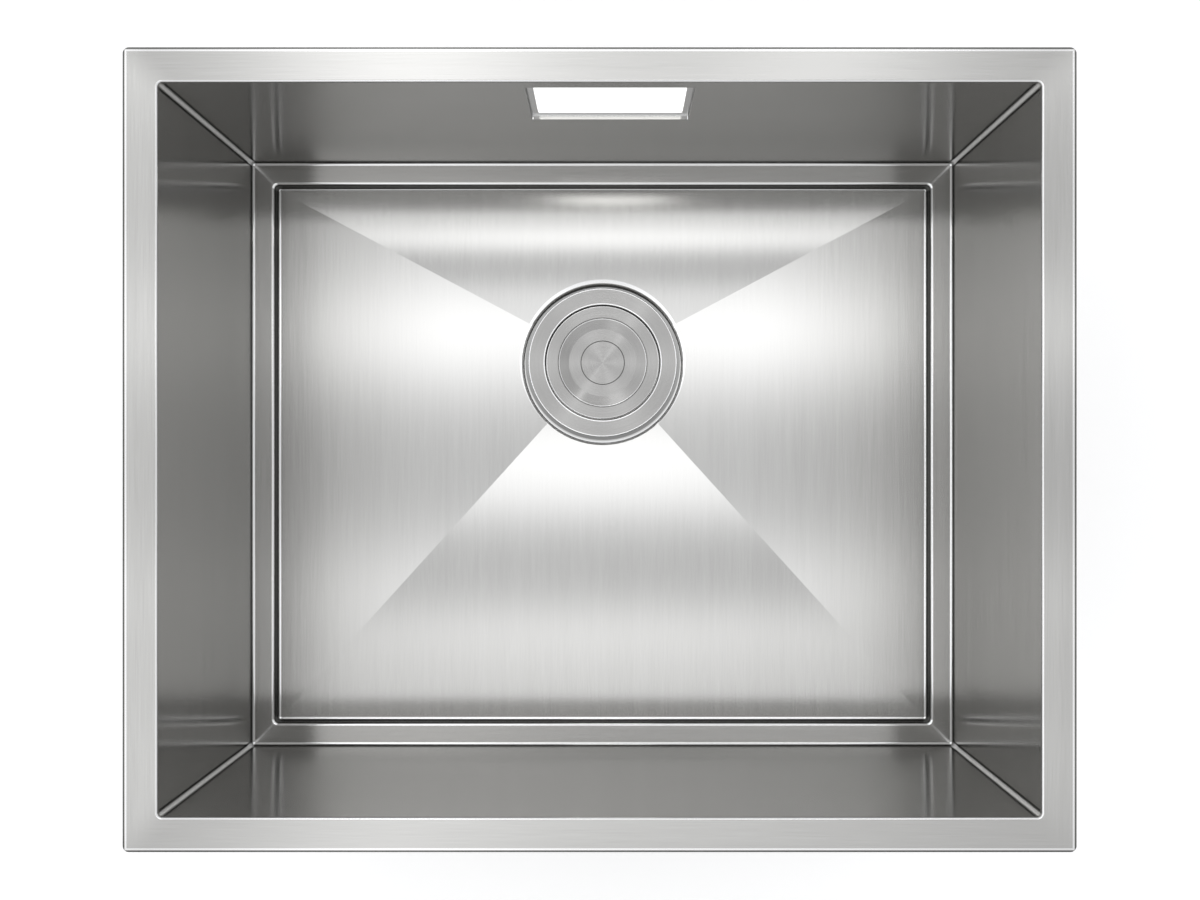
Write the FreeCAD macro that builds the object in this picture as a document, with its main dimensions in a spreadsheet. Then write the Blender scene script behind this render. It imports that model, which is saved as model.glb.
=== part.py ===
import FreeCAD, Part
import os
import re
import Sketcher

# A handmade undermount kitchen sink: one folded stainless bowl with a stepped, creased floor,
# its 3 1/2 inch basket waste with a pop-up lid, and the overflow collector and hose behind it.
# All lengths are in millimetres.  The origin is the centre of the rim's top plane, which is
# pressed up against the worktop.  +X runs along the long side, +Y to the back, +Z up.

doc = FreeCAD.newDocument("undermount_sink")
sheet = doc.addObject("Spreadsheet::Sheet", "Sizes")

SIZES = [
    ("bowl_length", 510, "bowl inside, left to right"),
    ("bowl_width", 424, "bowl inside, front to back"),
    ("bowl_depth", 190, "rim plane down to the ledge"),
    ("flange_width", 20, "flat rim outside the bowl opening"),
    ("flange_corner", 3.5, "outer corner radius of the rim"),
    ("steel", 1.2, "thickness of the folded steel"),
    ("corner_radius", 2.5, "inside radius of the upright welded corners"),
    ("bend_radius", 2.5, "inside radius of the folds"),
    ("rim_radius", 1.5, "rounding between the rim and the walls"),
    ("ledge_width", 16.5, "flat ledge round the floor, wall to step"),
    ("step_height", 10, "ledge down to the edge of the floor"),
    ("floor_margin", 0.5, "flat strip between the floor fold and the creased floor"),
    ("floor_fall", 6, "fall of the creased floor to its lowest point"),
    ("drain_back", 68, "drain axis behind the middle of the bowl"),
    ("recess_radius", 58, "pressed seat for the drain flange"),
    ("recess_shift", 1.4, "seat centre in front of the drain axis"),
    ("recess_drop", 2.2, "seat below the lowest point of the creases"),
    ("recess_lip", 2, "rounding of the seat's upper edge"),
    ("drain_hole_radius", 45, "hole for the waste"),
    ("overflow_right", 6, "overflow axis right of the middle"),
    ("overflow_top", 11, "rim plane down to the overflow recess"),
    ("overflow_length", 100, "overflow recess, left to right"),
    ("overflow_height", 66, "overflow recess, top to bottom"),
    ("overflow_step", 3, "depth of the overflow recess"),
    ("overflow_frame", 4.3, "frame left round the overflow hole"),
    ("overflow_corner", 1.2, "corner radius of the overflow recess"),
    ("pad_thickness", 3.5, "sound pads"),
    ("side_pad_length", 250, "pads on the left and right walls"),
    ("front_pad_length", 330, "pad on the front wall"),
    ("back_pad_length", 120, "pads on the back wall, beside the collector"),
    ("back_pad_clear", 25, "gap between those pads and the collector's lugs"),
    ("wall_pad_height", 110, "height of the wall pads"),
    ("wall_pad_drop", 45, "rim plane down to the wall pads"),
    ("floor_pad_length", 150, "pads under the floor, along the wall"),
    ("floor_pad_width", 80, "pads under the floor, towards the drain"),
    ("floor_pad_inset", 30, "floor pads in from the floor's edge"),
    ("seal_thickness", 1, "seal under the drain flange"),
    ("seal_inset", 1, "seal and gasket in from the flanges' edges"),
    ("flange_thickness", 1.5, "drain flange"),
    ("flange_radius", 55, "drain flange, outside"),
    ("cup_bore", 42.7, "upper bore of the strainer cup"),
    ("cup_wall", 1.2, "steel of the strainer cup"),
    ("cup_shoulder_depth", 9.5, "flange top down to the basket's shoulder"),
    ("cup_lower_bore", 40, "bore of the cup below its shoulder"),
    ("cup_depth", 46.5, "flange top down to the cup's floor"),
    ("cup_drain_radius", 8, "holes in the cup's floor"),
    ("cup_drain_ring", 25, "radius of the ring of those holes"),
    ("screw_radius", 4, "fixing screw shank"),
    ("screw_head_radius", 9, "fixing screw head"),
    ("screw_head_height", 3.5, "fixing screw head"),
    ("screw_socket_radius", 3.5, "socket in the screw head"),
    ("nut_radius", 7, "captive nut in the waste body"),
    ("nut_height", 8, "captive nut"),
    ("gasket_thickness", 3, "gasket under the drain seat"),
    ("body_flange_radius", 55, "top flange of the waste body"),
    ("body_flange_height", 4, "top flange of the waste body"),
    ("body_bore", 45, "waste body inside"),
    ("body_wall", 3, "waste body wall"),
    ("body_depth", 44, "gasket down to the start of the cone"),
    ("body_cone", 18, "height of the cone"),
    ("outlet_radius", 23.9, "outlet thread, outside (G 1 1/2)"),
    ("outlet_bore", 20, "outlet, inside"),
    ("outlet_length", 34, "outlet thread"),
    ("hub_radius", 10, "hub that holds the captive nut"),
    ("hub_rise", 4, "hub above its ribs"),
    ("rib_thickness", 3, "ribs that carry the hub"),
    ("rib_height", 10, "ribs that carry the hub"),
    ("spigot_drop", 26, "gasket down to the overflow spigot"),
    ("spigot_length", 26, "both hose spigots"),
    ("hose_start", 2, "hose end to the root of its spigot"),
    ("hose_bore", 10, "inside radius of the overflow hose"),
    ("hose_wall", 1.2, "hose wall"),
    ("hose_bend", 60, "radius of the hose bend"),
    ("spigot_wall", 2, "wall of the hose spigots"),
    ("clip_width", 8, "hose clips"),
    ("clip_wall", 1, "hose clips"),
    ("clip_inset", 5, "hose clips in from the hose's ends"),
    ("basket_rim_radius", 42.2, "rim of the basket"),
    ("basket_rim_height", 1.5, "rim of the basket"),
    ("basket_radius", 38, "basket wall, outside"),
    ("basket_wall", 1.2, "basket steel"),
    ("basket_depth", 31, "basket rim down to its underside"),
    ("basket_seal_height", 1.6, "seal under the basket's rim"),
    ("basket_hole_radius", 1.7, "holes of the basket"),
    ("basket_row_pitch", 5.6, "rows of holes"),
    ("basket_first_row", 6, "basket's underside up to the first row"),
    ("basket_first_ring", 6, "guide tube out to the first ring of holes in the floor"),
    ("basket_ring_pitch", 7, "rings of holes in the basket's floor"),
    ("guide_radius", 8.5, "guide tube of the basket"),
    ("guide_height", 15, "guide tube above the basket's floor"),
    ("guide_collar", 2, "collar of the guide tube on the basket's floor"),
    ("guide_collar_height", 1, "collar of the guide tube"),
    ("latch_radius", 7.3, "latch sleeve, outside"),
    ("stem_radius", 4, "stem of the lid"),
    ("slide_clearance", 0.3, "gap between pieces that slide"),
    ("lid_gap", 1.0, "gap between the lid and the cup's bore"),
    ("lid_steel", 1.2, "steel of the lid"),
    ("lid_skirt", 3.3, "skirt of the lid"),
    ("lid_rim_inner", 32.4, "inner edge of the lid's flat rim"),
    ("lid_dish_radius", 25, "flat bottom of the lid's dish"),
    ("lid_dish_depth", 2.5, "depth of the lid's dish"),
    ("lid_bevel", 0.8, "bevel inside the lid's flat rim"),
    ("edge_rounding", 0.4, "broken edges of the flange and the lid"),
    ("button_radius", 15.9, "press button"),
    ("button_gap", 0.4, "gap round the press button"),
    ("button_steel", 1.5, "press button, top"),
    ("button_skirt", 1, "wall of the press button's skirt"),
    ("button_post_radius", 2.5, "post under the press button"),
    ("button_post_length", 5, "post under the press button"),
    ("button_stop_radius", 17.4, "stop ring under the button"),
    ("button_stop_height", 0.8, "stop ring under the button"),
    ("housing_radius", 20, "button housing, outside"),
    ("housing_wall", 1.2, "button housing wall"),
    ("housing_depth", 9, "lid's underside down to the housing's underside"),
    ("stem_length", 23, "stem below the housing"),
    ("spring_wire", 0.5, "radius of the lift spring's wire"),
    ("spring_coil", 5.6, "radius of the lift spring's coil"),
    ("button_spring_wire", 0.4, "radius of the button spring's wire"),
    ("button_spring_coil", 9, "radius of the button spring's coil"),
    ("collector_wall", 2.5, "overflow collector"),
    ("collector_length", 140, "overflow collector, left to right"),
    ("spigot_left", 58.5, "collector's spigot left of its middle, out of sight"),
    ("collector_height", 80, "overflow collector, top to bottom"),
    ("collector_depth", 22, "overflow collector, front to back"),
    ("collector_gasket", 1.5, "gasket between the collector and the wall"),
    ("gasket_clearance", 1, "gasket to the back of the overflow recess"),
    ("lug_length", 14, "fixing lugs beside the collector"),
    ("lug_height", 70, "fixing lugs, top to bottom"),
    ("lug_thickness", 3, "fixing lugs"),
    ("stud_radius", 2, "welded studs of the collector"),
    ("stud_length", 11, "welded studs"),
    ("stud_height", 25, "studs above and below the collector's middle"),
    ("stud_clearance", 0.4, "holes round the studs"),
    ("stud_nut_radius", 4.2, "nuts on the studs, across corners"),
    ("stud_nut_height", 3.2, "nuts on the studs"),
]

for row, (alias, number, meaning) in enumerate(SIZES, 1):
    sheet.set(f"A{row}", meaning)
    sheet.set(f"B{row}", str(number))
    sheet.setAlias(f"B{row}", alias)
doc.recompute()

# Places that follow from the sizes.  Heights of the waste are measured from the drain seat.
PLACES = {
    "half_length": "(bowl_length / 2)",
    "half_width": "(bowl_width / 2)",
    "pan_half_length": "(half_length - ledge_width)",
    "pan_half_width": "(half_width - ledge_width)",
    "floor_edge": "(bowl_depth + step_height)",
    "fold_inset": "(bend_radius + floor_margin)",
    "fan_half_length": "(pan_half_length - fold_inset)",
    "fan_half_width": "(pan_half_width - fold_inset)",
    "seat": "(0 - floor_edge - floor_fall - recess_drop)",
    "recess_back": "(drain_back - recess_shift)",
    "back_face": "(half_width + steel)",
    "overflow_middle": "(0 - overflow_top - overflow_height / 2)",
    "flange_top": "(seal_thickness + flange_thickness)",
    "shoulder": "(flange_top - cup_shoulder_depth)",
    "cup_floor": "(flange_top - cup_depth)",
    "screw_hole": "(screw_radius + slide_clearance)",
    "basket_rim_top": "(shoulder + basket_seal_height + basket_rim_height)",
    "basket_floor": "(basket_rim_top - basket_depth)",
    "guide_top": "(basket_floor + basket_wall + guide_height)",
    "lid_radius": "(cup_bore - lid_gap)",
    "dish_top": "(flange_top - lid_dish_depth)",
    "dish_underside": "(dish_top - lid_steel)",
    "housing_floor": "(dish_underside - housing_depth)",
    "body_top": "(0 - steel - gasket_thickness)",
    "cone_top": "(body_top - body_depth)",
    "cone_foot": "(cone_top - body_cone)",
    "outlet_end": "(cone_foot - outlet_length)",
    "hub_floor": "(cone_foot - rib_height)",
    "spigot_bore": "(hose_bore - spigot_wall)",
    "spigot_level": "(seat + body_top - spigot_drop)",
    "spigot_start": "(body_bore + body_wall)",
    "collector_face": "(back_face + collector_gasket)",
    "collector_floor": "(overflow_middle - collector_height / 2)",
    "hose_back": "(collector_face + collector_depth / 2)",
    "hose_left": "(spigot_left - overflow_right)",
    "hose_reach": "sqrt(hose_left ^ 2 + (hose_back - drain_back) ^ 2)",
    "hose_turn": "atan(hose_left / (hose_back - drain_back))",
    "hose_radius": "(hose_bore + hose_wall)",
    "hose_top": "(collector_floor - hose_start)",
    "hose_end": "(spigot_start + hose_start)",
    "lug_middle": "(collector_length / 2 + lug_length / 2)",
    "boss_half_length": "(overflow_length / 2 + steel + gasket_clearance)",
    "boss_half_height": "(overflow_height / 2 + steel + gasket_clearance)",
}
ALIASES = {alias for alias, number, meaning in SIZES}


def expand(text):
    """Write a text of size and place names as an expression on the sheet's cells."""
    def one(match):
        word = match.group(0)
        if word in PLACES:
            return expand(PLACES[word])
        return f"Sizes.{word}" if word in ALIASES else word
    return re.sub(r"[a-z][a-z_]*[a-z]", one, str(text))


def number_of(text):
    """The value of such a text, in millimetres."""
    return float(sheet.evalExpression(expand(text)))


def bind(thing, **texts):
    """Bind properties of an object; a double underscore stands for a dot."""
    for name, text in texts.items():
        thing.setExpression(name.replace("__", "."), expand(text))


def new_body(name, x="0", y="0", z="0"):
    body = doc.addObject("PartDesign::Body", name)
    body.Label = name
    bind(body, Placement__Base__x=x, Placement__Base__y=y, Placement__Base__z=z)
    return body


def origin_part(body, role):
    return next(part for part in body.Origin.OriginFeatures if part.Role == role)


def new_sketch(body, name, plane="XY_Plane", level="0"):
    sketch = body.newObject("Sketcher::SketchObject", name)
    sketch.AttachmentSupport = (origin_part(body, plane), [""])
    sketch.MapMode = "FlatFace"
    bind(sketch, AttachmentOffset__Base__z=level)
    return sketch


def pin_point(sketch, line, end, x, y):
    """Hold one point of a sketch at a place given by two texts."""
    for kind, text in (("DistanceX", x), ("DistanceY", y)):
        row = sketch.addConstraint(Sketcher.Constraint(kind, -1, 1, line, end, number_of(text)))
        sketch.setExpression(f"Constraints[{row}]", expand(text))


def draw_outline(sketch, points):
    """Draw a closed outline of straight lines through points given as texts."""
    spots = [FreeCAD.Vector(number_of(x), number_of(y), 0) for x, y in points]
    first = sketch.GeometryCount
    count = len(spots)
    for step in range(count):
        sketch.addGeometry(Part.LineSegment(spots[step], spots[(step + 1) % count]), False)
    for step in range(count):
        following = first + (step + 1) % count
        sketch.addConstraint(Sketcher.Constraint("Coincident", first + step, 2, following, 1))
    for step, (x, y) in enumerate(points):
        pin_point(sketch, first + step, 1, x, y)


def draw_rectangle(sketch, left, right, low, high):
    draw_outline(sketch, [(left, low), (right, low), (right, high), (left, high)])


def draw_rounded(sketch, left, right, low, high, radius):
    """Draw a rectangle whose corners are arcs, counter-clockwise from its lower left."""
    near = {"left": f"{left} + ({radius})", "right": f"{right} - ({radius})",
            "low": f"{low} + ({radius})", "high": f"{high} - ({radius})"}
    sides = [
        ((near["left"], low), (near["right"], low)),
        ((right, near["low"]), (right, near["high"])),
        ((near["right"], high), (near["left"], high)),
        ((left, near["high"]), (left, near["low"])),
    ]
    middles = [(near["right"], near["low"]), (near["right"], near["high"]),
               (near["left"], near["high"]), (near["left"], near["low"])]
    spots = [[FreeCAD.Vector(number_of(x), number_of(y), 0) for x, y in side] for side in sides]
    first = sketch.GeometryCount
    for start, stop in spots:
        sketch.addGeometry(Part.LineSegment(start, stop), False)
    for step, middle in enumerate(middles):
        start, stop = spots[step][1], spots[(step + 1) % 4][0]
        centre = FreeCAD.Vector(number_of(middle[0]), number_of(middle[1]), 0)
        outward = (start + stop) * 0.5 - centre
        outward.normalize()
        top = centre + outward * number_of(radius)
        sketch.addGeometry(Part.Arc(start, top, stop), False)
    for step, side in enumerate(sides):
        arc = first + 4 + step
        following = first + (step + 1) % 4
        sketch.addConstraint(Sketcher.Constraint("Coincident", first + step, 2, arc, 1))
        sketch.addConstraint(Sketcher.Constraint("Coincident", arc, 2, following, 1))
        pin_point(sketch, first + step, 1, *side[0])
        pin_point(sketch, first + step, 2, *side[1])
        row = sketch.addConstraint(Sketcher.Constraint("Radius", arc, number_of(radius)))
        sketch.setExpression(f"Constraints[{row}]", expand(radius))


def draw_circle(sketch, x, y, radius):
    middle = FreeCAD.Vector(number_of(x), number_of(y), 0)
    circle = sketch.addGeometry(Part.Circle(middle, FreeCAD.Vector(0, 0, 1), number_of(radius)))
    pin_point(sketch, circle, 3, x, y)
    row = sketch.addConstraint(Sketcher.Constraint("Radius", circle, number_of(radius)))
    sketch.setExpression(f"Constraints[{row}]", expand(radius))


def pad(body, name, sketch, length, down=True):
    feature = body.newObject("PartDesign::Pad", name)
    feature.Profile = sketch
    bind(feature, Length=length)
    feature.Reversed = down
    doc.recompute()
    return feature


def pocket(body, name, sketch, length, down=True):
    before = body.Shape.Volume
    feature = body.newObject("PartDesign::Pocket", name)
    feature.Profile = sketch
    bind(feature, Length=length)
    feature.Reversed = not down
    doc.recompute()
    if body.Shape.Volume >= before:
        raise ValueError(f"{body.Label}: {name} cuts nothing")
    return feature


def turn(body, name, points):
    """Revolve an outline of (radius, height) texts about the body's upright axis."""
    sketch = new_sketch(body, name + "_outline", "XZ_Plane")
    draw_outline(sketch, points)
    feature = body.newObject("PartDesign::Revolution", name)
    feature.Profile = sketch
    feature.ReferenceAxis = (sketch, ["V_Axis"])
    feature.Angle = 360
    doc.recompute()
    return feature


def ring_of(body, feature, count):
    """Repeat a feature round the body's upright axis."""
    pattern = body.newObject("PartDesign::PolarPattern", feature.Label + "_ring")
    pattern.Originals = [feature]
    pattern.Axis = (origin_part(body, "Z_Axis"), [""])
    pattern.Angle = 360
    pattern.Occurrences = count
    body.Tip = pattern
    doc.recompute()
    return pattern


def loft(body, name, kind, first, last):
    feature = body.newObject(f"PartDesign::{kind}Loft", name)
    feature.Profile = first
    feature.Sections = [last]
    feature.Ruled = True
    doc.recompute()
    return feature


def round_edges(body, name, radius, chosen):
    """Fillet the edges of the body for which chosen(edge) holds."""
    base = body.Tip
    names = [f"Edge{k}" for k, edge in enumerate(base.Shape.Edges, 1) if chosen(edge)]
    if not names:
        raise ValueError(f"{body.Label}: {name} finds no edge")
    feature = body.newObject("PartDesign::Fillet", name)
    feature.Base = (base, names)
    bind(feature, Radius=radius)
    doc.recompute()
    return feature


NEAR = 0.02


def loop_at(z, half_x, half_y, slack=NEAR):
    """Choose level edges at height z on the outline of a centred rectangle."""
    def chosen(edge):
        box = edge.BoundBox
        if box.ZLength > NEAR or abs(box.ZMin - z) > NEAR:
            return False
        point = edge.valueAt((edge.FirstParameter + edge.LastParameter) / 2)
        on_x = abs(abs(point.x) - half_x) < slack and abs(point.y) < half_y + slack
        on_y = abs(abs(point.y) - half_y) < slack and abs(point.x) < half_x + slack
        return on_x or on_y
    return chosen




def fan_corner(share):
    """Sides of the floor fan's outline when it is shrunk by a share towards the drain."""
    keep = f"(1 - {share})"
    return (
        f"(0 - fan_half_length) * {keep}",
        f"fan_half_length * {keep}",
        f"drain_back - (fan_half_width + drain_back) * {keep}",
        f"drain_back + (fan_half_width - drain_back) * {keep}",
    )


FAN_SHARE = 0.85


def floor_fan(body, name, kind, level):
    """The four flat slopes that meet in creases, as a loft from the floor's edge to the drain."""
    wide = new_sketch(body, name + "_edge", level=level)
    draw_rectangle(wide, *fan_corner(0))
    narrow = new_sketch(body, name + "_foot", level=f"{level} - floor_fall * {FAN_SHARE}")
    draw_rectangle(narrow, *fan_corner(FAN_SHARE))
    return loft(body, name, kind, wide, narrow)


def centred(sketch, half_x, half_y, radius):
    draw_rounded(sketch, f"0 - {half_x}", half_x, f"0 - {half_y}", half_y, radius)


def seat_edge(edge):
    """The four arcs where the seat's upright wall meets the creased floor, on the upper side."""
    middle = FreeCAD.Vector(0, number_of("recess_back"), 0)
    floor, lowest = number_of("0 - floor_edge"), number_of("seat + recess_drop / 2")
    for share in (0, 0.5, 1):
        point = edge.valueAt(edge.FirstParameter + share * (edge.LastParameter - edge.FirstParameter))
        reach = FreeCAD.Vector(point.x, point.y, 0).distanceToPoint(middle)
        if abs(reach - number_of("recess_radius")) > NEAR or not lowest < point.z < floor:
            return False
    return edge.BoundBox.ZLength < number_of("floor_fall") and edge.Length > 10


def make_bowl():
    """One sheet: rim, walls, ledge, stepped floor with its creases, drain seat, overflow recess."""
    body = new_body("bowl")
    bowl_outside(body)
    bowl_inside(body)
    bowl_overflow(body)
    return body


def bowl_outside(body):
    """The solid block that the steel's outer face bounds."""
    fold = "(bend_radius + steel)"
    rim = new_sketch(body, "rim_outline")
    centred(rim, "(half_length + flange_width)", "(half_width + flange_width)", "flange_corner")
    pad(body, "rim", rim, "steel")

    walls = new_sketch(body, "walls_outline")
    centred(walls, "(half_length + steel)", "(half_width + steel)", "corner_radius + steel")
    pad(body, "walls", walls, "bowl_depth + steel")
    wall_x, wall_y = number_of("half_length + steel"), number_of("half_width + steel")
    ledge = number_of("0 - bowl_depth - steel")
    round_edges(body, "wall_folds", fold, loop_at(ledge, wall_x, wall_y))

    pan = new_sketch(body, "pan_outline", level="0 - bowl_depth")
    centred(pan, "(pan_half_length + steel)", "(pan_half_width + steel)", fold)
    pad(body, "pan", pan, "step_height + steel")
    pan_x, pan_y = number_of("pan_half_length + steel"), number_of("pan_half_width + steel")
    round_edges(body, "pan_folds", fold, loop_at(number_of("0 - floor_edge - steel"), pan_x, pan_y))

    floor_fan(body, "fan_below", "Additive", "0 - floor_edge - steel")
    seat_disc = new_sketch(body, "seat_outline", level="0 - floor_edge - steel")
    draw_circle(seat_disc, "0", "recess_back", "recess_radius + steel")
    pad(body, "seat_block", seat_disc, "0 - floor_edge - seat")


def bowl_inside(body):
    """Hollow out the block: opening, pan, creased floor, drain seat and drain hole."""
    wall_x, wall_y = number_of("half_length"), number_of("half_width")
    pan_x, pan_y = number_of("pan_half_length"), number_of("pan_half_width")
    ledge, floor = number_of("0 - bowl_depth"), number_of("0 - floor_edge")
    opening = new_sketch(body, "opening_outline")
    centred(opening, "half_length", "half_width", "corner_radius")
    pocket(body, "opening", opening, "bowl_depth")
    round_edges(body, "opening_folds", "bend_radius", loop_at(ledge, wall_x, wall_y))
    round_edges(body, "rim_fold", "rim_radius", loop_at(0, wall_x, wall_y))

    hollow = new_sketch(body, "pan_opening_outline", level="0 - bowl_depth")
    centred(hollow, "pan_half_length", "pan_half_width", "bend_radius")
    pocket(body, "pan_opening", hollow, "step_height")
    round_edges(body, "floor_folds", "bend_radius", loop_at(floor, pan_x, pan_y))
    round_edges(body, "ledge_folds", "bend_radius", loop_at(ledge, pan_x, pan_y))

    floor_fan(body, "fan_above", "Subtractive", "0 - floor_edge")
    seat_cut = new_sketch(body, "seat_cut_outline", level="0 - floor_edge")
    draw_circle(seat_cut, "0", "recess_back", "recess_radius")
    pocket(body, "seat_cut", seat_cut, "0 - floor_edge - seat")
    round_edges(body, "seat_lip", "recess_lip", seat_edge)
    hole = new_sketch(body, "drain_hole_outline", level="seat")
    draw_circle(hole, "0", "drain_back", "drain_hole_radius")
    pocket(body, "drain_hole", hole, "steel * 2")


def bowl_overflow(body):
    """Press the overflow recess out of the back wall and cut its hole."""
    left = "overflow_right - overflow_length / 2"
    right = "overflow_right + overflow_length / 2"
    low = "0 - overflow_top - overflow_height"
    boss = new_sketch(body, "overflow_outline", "XZ_Plane", "0 - back_face")
    draw_rounded(boss, f"{left} - steel", f"{right} + steel", f"{low} - steel",
                 "steel - overflow_top", "overflow_corner + steel")
    pad(body, "overflow_boss", boss, "overflow_step")
    recess = new_sketch(body, "overflow_cut_outline", "XZ_Plane", "0 - half_width")
    draw_rounded(recess, left, right, low, "0 - overflow_top", "overflow_corner")
    pocket(body, "overflow_cut", recess, "overflow_step", down=True)
    slot = new_sketch(body, "overflow_slot_outline", "XZ_Plane", "0 - half_width - overflow_step")
    draw_rounded(slot, f"{left} + overflow_frame", f"{right} - overflow_frame",
                 f"{low} + overflow_frame", "0 - overflow_top - overflow_frame", "overflow_corner")
    pocket(body, "overflow_slot", slot, "steel * 2", down=True)


def block(name, low, high):
    """A plain box between two corners, each given as three texts."""
    box = doc.addObject("Part::Box", name)
    box.Label = name
    bind(box, Placement__Base__x=low[0], Placement__Base__y=low[1], Placement__Base__z=low[2],
         Length=f"({high[0]}) - ({low[0]})", Width=f"({high[1]}) - ({low[1]})",
         Height=f"({high[2]}) - ({low[2]})")
    return box


def rod(name, radius, length, base, axis="Z"):
    """A cylinder along +Z, or along +Y."""
    cylinder = doc.addObject("Part::Cylinder", name)
    if axis == "Y":
        cylinder.Placement = FreeCAD.Placement(FreeCAD.Vector(), FreeCAD.Rotation(FreeCAD.Vector(1, 0, 0), -90))
    bind(cylinder, Radius=radius, Height=length, Placement__Base__x=base[0],
         Placement__Base__y=base[1], Placement__Base__z=base[2])
    return cylinder


def cut(name, base, tool):
    result = doc.addObject("Part::Cut", name)
    result.Label = name
    result.Base = base
    result.Tool = tool
    return result


def group(name, members):
    result = doc.addObject("Part::Compound", name)
    result.Label = name
    result.Links = members
    return result


def make_wall_pads():
    """Rubber sound pads glued to the outside of the walls."""
    top, low = "0 - wall_pad_drop", "0 - wall_pad_drop - wall_pad_height"
    side = "(half_length + steel)"
    near = "(lug_middle + lug_length / 2 + back_pad_clear)"
    half_side, half_front = "side_pad_length / 2", "front_pad_length / 2"
    return [
        block("left_pad", (f"0 - {side} - pad_thickness", f"0 - {half_side}", low),
              (f"0 - {side}", half_side, top)),
        block("right_pad", (side, f"0 - {half_side}", low),
              (f"{side} + pad_thickness", half_side, top)),
        block("front_pad", (f"0 - {half_front}", "0 - back_face - pad_thickness", low),
              (half_front, "0 - back_face", top)),
        block("back_left_pad", (f"overflow_right - {near} - back_pad_length", "back_face", low),
              (f"overflow_right - {near}", "back_face + pad_thickness", top)),
        block("back_right_pad", (f"overflow_right + {near}", "back_face", low),
              (f"overflow_right + {near} + back_pad_length", "back_face + pad_thickness", top)),
    ]


def make_floor_pad(name, plane, edge, way, run):
    """A pad glued under one slope of the floor: edge is where the slope starts, way is 1 or -1."""
    near, far = "floor_pad_inset", "(floor_pad_inset + floor_pad_width)"
    level = "(0 - floor_edge - steel - floor_fall * {} / ({}))"
    body = new_body(name)
    sketch = new_sketch(body, name + "_section", plane)
    corners = []
    for reach, thickness in ((near, "0"), (far, "0"), (far, "pad_thickness"), (near, "pad_thickness")):
        corners.append((f"{edge} + {way} * {reach}", f"{level.format(reach, run)} - {thickness}"))
    draw_outline(sketch, corners)
    slab = body.newObject("PartDesign::Pad", name + "_slab")
    slab.Profile = sketch
    slab.SideType = "Symmetric"
    bind(slab, Length="floor_pad_length")
    return body


def make_floor_pads():
    return [
        make_floor_pad("floor_front_pad", "YZ_Plane", "0 - fan_half_width", 1, "fan_half_width + drain_back"),
        make_floor_pad("floor_left_pad", "XZ_Plane", "0 - fan_half_length", 1, "fan_half_length"),
        make_floor_pad("floor_right_pad", "XZ_Plane", "fan_half_length", -1, "fan_half_length"),
    ]


def at_drain(name):
    """A body whose upright axis is the drain's and whose zero is the drain seat."""
    return new_body(name, y="drain_back", z="seat")


def face_hose(thing):
    """Turn an object about its own upright axis, from the back towards the hose."""
    spot = thing.Placement.Base
    thing.Placement = FreeCAD.Placement(spot, FreeCAD.Rotation(FreeCAD.Vector(0, 0, 1), 10))
    bind(thing, Placement__Rotation__Angle="hose_turn")


def flat_ring(name, inner, outer, low, high):
    body = at_drain(name)
    turn(body, name + "_turn", [(inner, low), (outer, low), (outer, high), (inner, high)])
    return body


def circle_edge_at(radius, z):
    """Choose whole circles of a radius, a height above the drain seat, about the drain's axis."""
    def chosen(edge):
        box = edge.BoundBox
        level = box.ZLength < NEAR and abs(box.ZMin - z) < NEAR
        return level and abs(box.XLength / 2 - radius) < NEAR and abs(box.Center.x) < NEAR
    return chosen


def drill_ring(body, name, radius, where, top, depth, count):
    """Drill a ring of upright holes through a floor."""
    sketch = new_sketch(body, name + "_outline", level=top)
    draw_circle(sketch, where, "0", radius)
    hole = pocket(body, name, sketch, depth)
    ring_of(body, hole, count)


CUP_HOLES = 6


def make_strainer_cup():
    """Pressed cup that hangs in the drain hole from its flange."""
    body = at_drain("strainer_cup")
    outer, lower = "cup_bore + cup_wall", "cup_lower_bore + cup_wall"
    turn(body, "cup_turn", [
        ("cup_bore", "flange_top"),
        ("flange_radius", "flange_top"),
        ("flange_radius", "seal_thickness"),
        (outer, "seal_thickness"),
        (outer, "shoulder - cup_wall"),
        (lower, "shoulder - cup_wall"),
        (lower, "cup_floor - cup_wall"),
        ("screw_hole", "cup_floor - cup_wall"),
        ("screw_hole", "cup_floor"),
        ("cup_lower_bore", "cup_floor"),
        ("cup_lower_bore", "shoulder"),
        ("cup_bore", "shoulder"),
    ])
    top = number_of("flange_top")
    rims = [circle_edge_at(number_of("flange_radius"), top), circle_edge_at(number_of("cup_bore"), top)]
    round_edges(body, "flange_edges", "edge_rounding", lambda edge: any(rim(edge) for rim in rims))
    drill_ring(body, "cup_hole", "cup_drain_radius", "cup_drain_ring", "cup_floor", "cup_wall * 2", CUP_HOLES)
    return body


RIBS = 3


def add_ribs(body, name, top, height, reach):
    """Ribs from the drain's axis out to a radius."""
    sketch = new_sketch(body, name + "_outline", level=top)
    draw_rectangle(sketch, "0", reach, "0 - rib_thickness / 2", "rib_thickness / 2")
    ring_of(body, pad(body, name, sketch, height), RIBS)


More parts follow.
